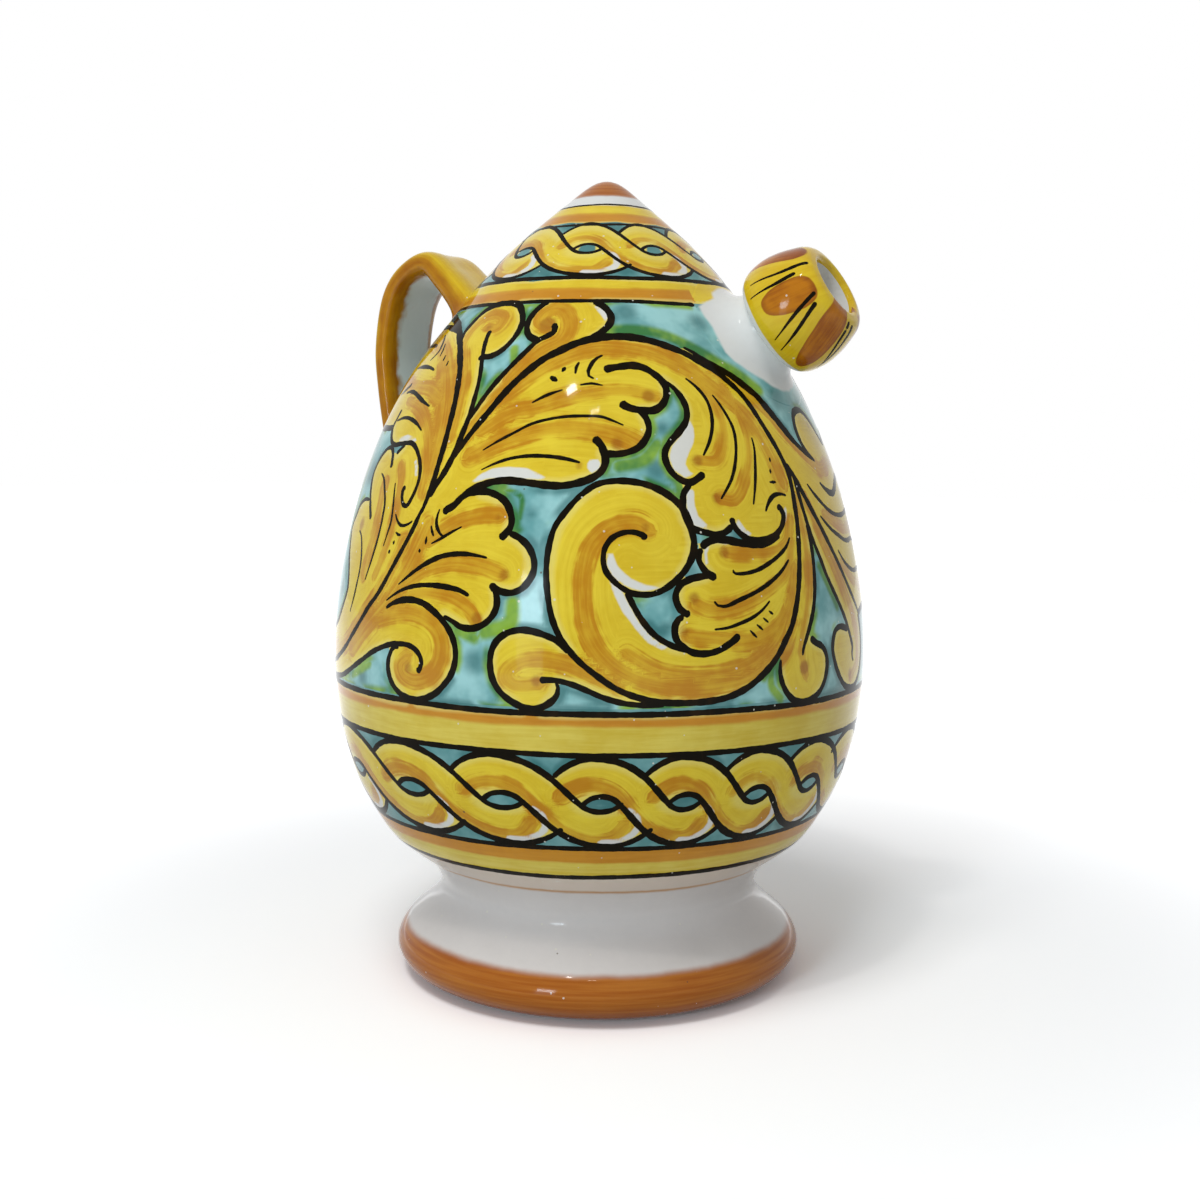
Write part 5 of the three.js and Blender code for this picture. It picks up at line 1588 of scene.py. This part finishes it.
def makeCamera():
    pitch, roll, yaw = (math.radians(camera[k]) for k in ("pitch", "roll", "yaw"))
    # x to the right of the picture, y away from the camera
    forward = Vector((math.sin(yaw) * math.cos(pitch), math.cos(yaw) * math.cos(pitch), -math.sin(pitch)))
    right = Vector((math.cos(yaw), -math.sin(yaw), 0))
    up = right.cross(forward)
    right2, up2 = (math.cos(roll) * right + math.sin(roll) * up, -math.sin(roll) * right + math.cos(roll) * up)
    turn = Matrix.Rotation(math.radians(camera["stands"]), 3, "Z")
    right2, up2, back = turn @ right2, turn @ up2, turn @ (-forward)
    place = turn @ Vector((0, -camera["distance"], camera["height"]))
    data = bpy.data.cameras.new("camera")
    data.sensor_fit, data.angle = "AUTO", math.radians(camera["across"])
    data.clip_start, data.clip_end = 0.01, 50
    seen = bpy.data.objects.new("camera", data)
    bpy.context.scene.collection.objects.link(seen)
    seen.matrix_world = Matrix(((right2.x, up2.x, back.x, place.x), (right2.y, up2.y, back.y, place.y),
                                (right2.z, up2.z, back.z, place.z), (0, 0, 0, 1)))
    bpy.context.scene.camera = seen
    return seen


seen = makeCamera()


def glossWay(angle, length):
    # Where the camera sees the gloss reflect from: the place and the direction there.
    place, normal = onJug(np.array([float(angle)]), np.array([float(length)]), 0.0)
    place, normal = Vector(place[0] * 0.001), Vector(normal[0]).normalized()
    look = (place - seen.matrix_world.translation).normalized()
    return place, (look - 2 * look.dot(normal) * normal).normalized()


def addLamp(name, place, target, size, power, colour=(1, 1, 1), gloss=True):
    data = bpy.data.lights.new(name, "AREA")
    data.shape = "RECTANGLE"
    data.size, data.size_y = size
    data.energy, data.color = power, colour
    lamp = bpy.data.objects.new(name, data)
    bpy.context.scene.collection.objects.link(lamp)
    lamp.location = place
    lamp.rotation_euler = (Vector(target) - Vector(place)).to_track_quat("-Z", "Y").to_euler()
    lamp.visible_glossy = gloss
    lamp.visible_camera = False
    return lamp


# The window and the small lamp stand where their reflections show in the photo
lights = {
    "world": 0.36,
    "worldColour": (0.97, 0.985, 1.0, 1),
    "key": {"across": -0.36, "near": 0.8, "up": 1.55, "size": (0.6, 0.6), "power": 9.4},
    "window": {"at": (-12.8, lengthAt(141)), "distance": 1.2, "size": (0.21, 0.23), "power": 2.9,
               "colour": (0.76, 0.89, 1.0)},
    "blind": {"at": (-12.8, lengthAt(136)), "distance": 1.25, "size": (0.25, 0.7), "power": 1.4,
              "colour": (0.76, 0.89, 1.0)},
    "lamp": {"at": (-7.5, lengthAt(205)), "distance": 1.3, "size": (0.09, 0.05), "power": 1.1,
             "colour": (1, 0.98, 0.95), "roll": 35},
    "streak": {"at": (-1.5, lengthAt(198)), "distance": 1.3, "size": (0.1, 0.02), "power": 0.25,
               "colour": (1, 0.98, 0.95), "roll": 20},
}
middle = Vector((0, 0, 0.14))
toCamera = Vector((0.5, -0.866, 0))
toRight = Vector((0.866, 0.5, 0))
for name in ("window", "blind", "lamp", "streak"):
    spec = lights[name]
    place, way = glossWay(*spec["at"])
    lamp = addLamp(name, place + way * spec["distance"], place, spec["size"], spec["power"], spec["colour"])
    lamp.rotation_euler.rotate_axis("Z", math.radians(spec.get("roll", 0)))
spec = lights["key"]
keyPlace = middle + toCamera * spec["near"] + toRight * spec["across"] + Vector((0, 0, spec["up"]))
addLamp("key", keyPlace, middle, spec["size"], spec["power"], gloss=False)


def seenDirectly(tree):
    # 1 for what the camera sees, straight or in a mirror or through glass; 0 for light that bounces.
    path = addNode(tree, "LightPath").outputs
    mirrored = calc(tree, "MAXIMUM", path["Is Glossy Ray"], path["Is Transmission Ray"])
    return calc(tree, "MAXIMUM", path["Is Camera Ray"], mirrored)


def makeWorld():
    world = bpy.data.worlds.new("studio")
    world.use_nodes = True
    bpy.context.scene.world = world
    tree = world.node_tree
    tree.nodes.clear()
    shown = seenDirectly(tree)
    plain = addNode(tree, "Background", {"Color": lights["worldColour"], "Strength": lights["world"]})
    backdrop = addNode(tree, "Background", {"Color": (1, 1, 1, 1), "Strength": 1.0})
    mix = addNode(tree, "MixShader", {0: shown, 1: plain.outputs[0], 2: backdrop.outputs[0]})
    end = tree.nodes.new("ShaderNodeOutputWorld")
    tree.links.new(mix.outputs[0], end.inputs["Surface"])


floorLook = {
    "size": 6.0,
    "bounce": (0.66, 0.68, 0.7, 1), "shown": (1.365, 1.37, 1.38, 1),
    "near": 0.165, "far": 0.6,                # metres from the jug's middle where the glow begins and is full
    "glow": 0.85, "leastGlow": 0.035,
}


def makeFloor():
    size = floorLook["size"]
    mesh = bpy.data.meshes.new("floor")
    corners = [(-size, -size, 0), (size, -size, 0), (size, size, 0), (-size, size, 0)]
    mesh.from_pydata(corners, [], [(0, 1, 2, 3)])
    floor = bpy.data.objects.new("floor", mesh)
    bpy.context.scene.collection.objects.link(floor)
    material, tree, shader = newMaterial("paleFloor")
    shader.inputs["Roughness"].default_value = 0.9
    shader.inputs["Specular IOR Level"].default_value = 0.0
    shown = seenDirectly(tree)
    shade = blendColour(tree, shown, floorLook["bounce"], floorLook["shown"])
    tree.links.new(shade, shader.inputs["Base Color"])
    shader.inputs["Emission Color"].default_value = (1, 1, 1, 1)
    place = addNode(tree, "NewGeometry").outputs["Position"]
    away = addNode(tree, "VectorMath", {0: place}, operation="LENGTH")
    far = rampUp(tree, away.outputs["Value"], floorLook["near"], floorLook["far"])
    glow = calc(tree, "MULTIPLY_ADD", far, floorLook["glow"], floorLook["leastGlow"])
    tree.links.new(calc(tree, "MULTIPLY", shown, glow), shader.inputs["Emission Strength"])
    mesh.materials.append(material)


makeWorld()
makeFloor()
scene = bpy.context.scene
scene.view_settings.view_transform = "Standard"
print("floor, light and camera")
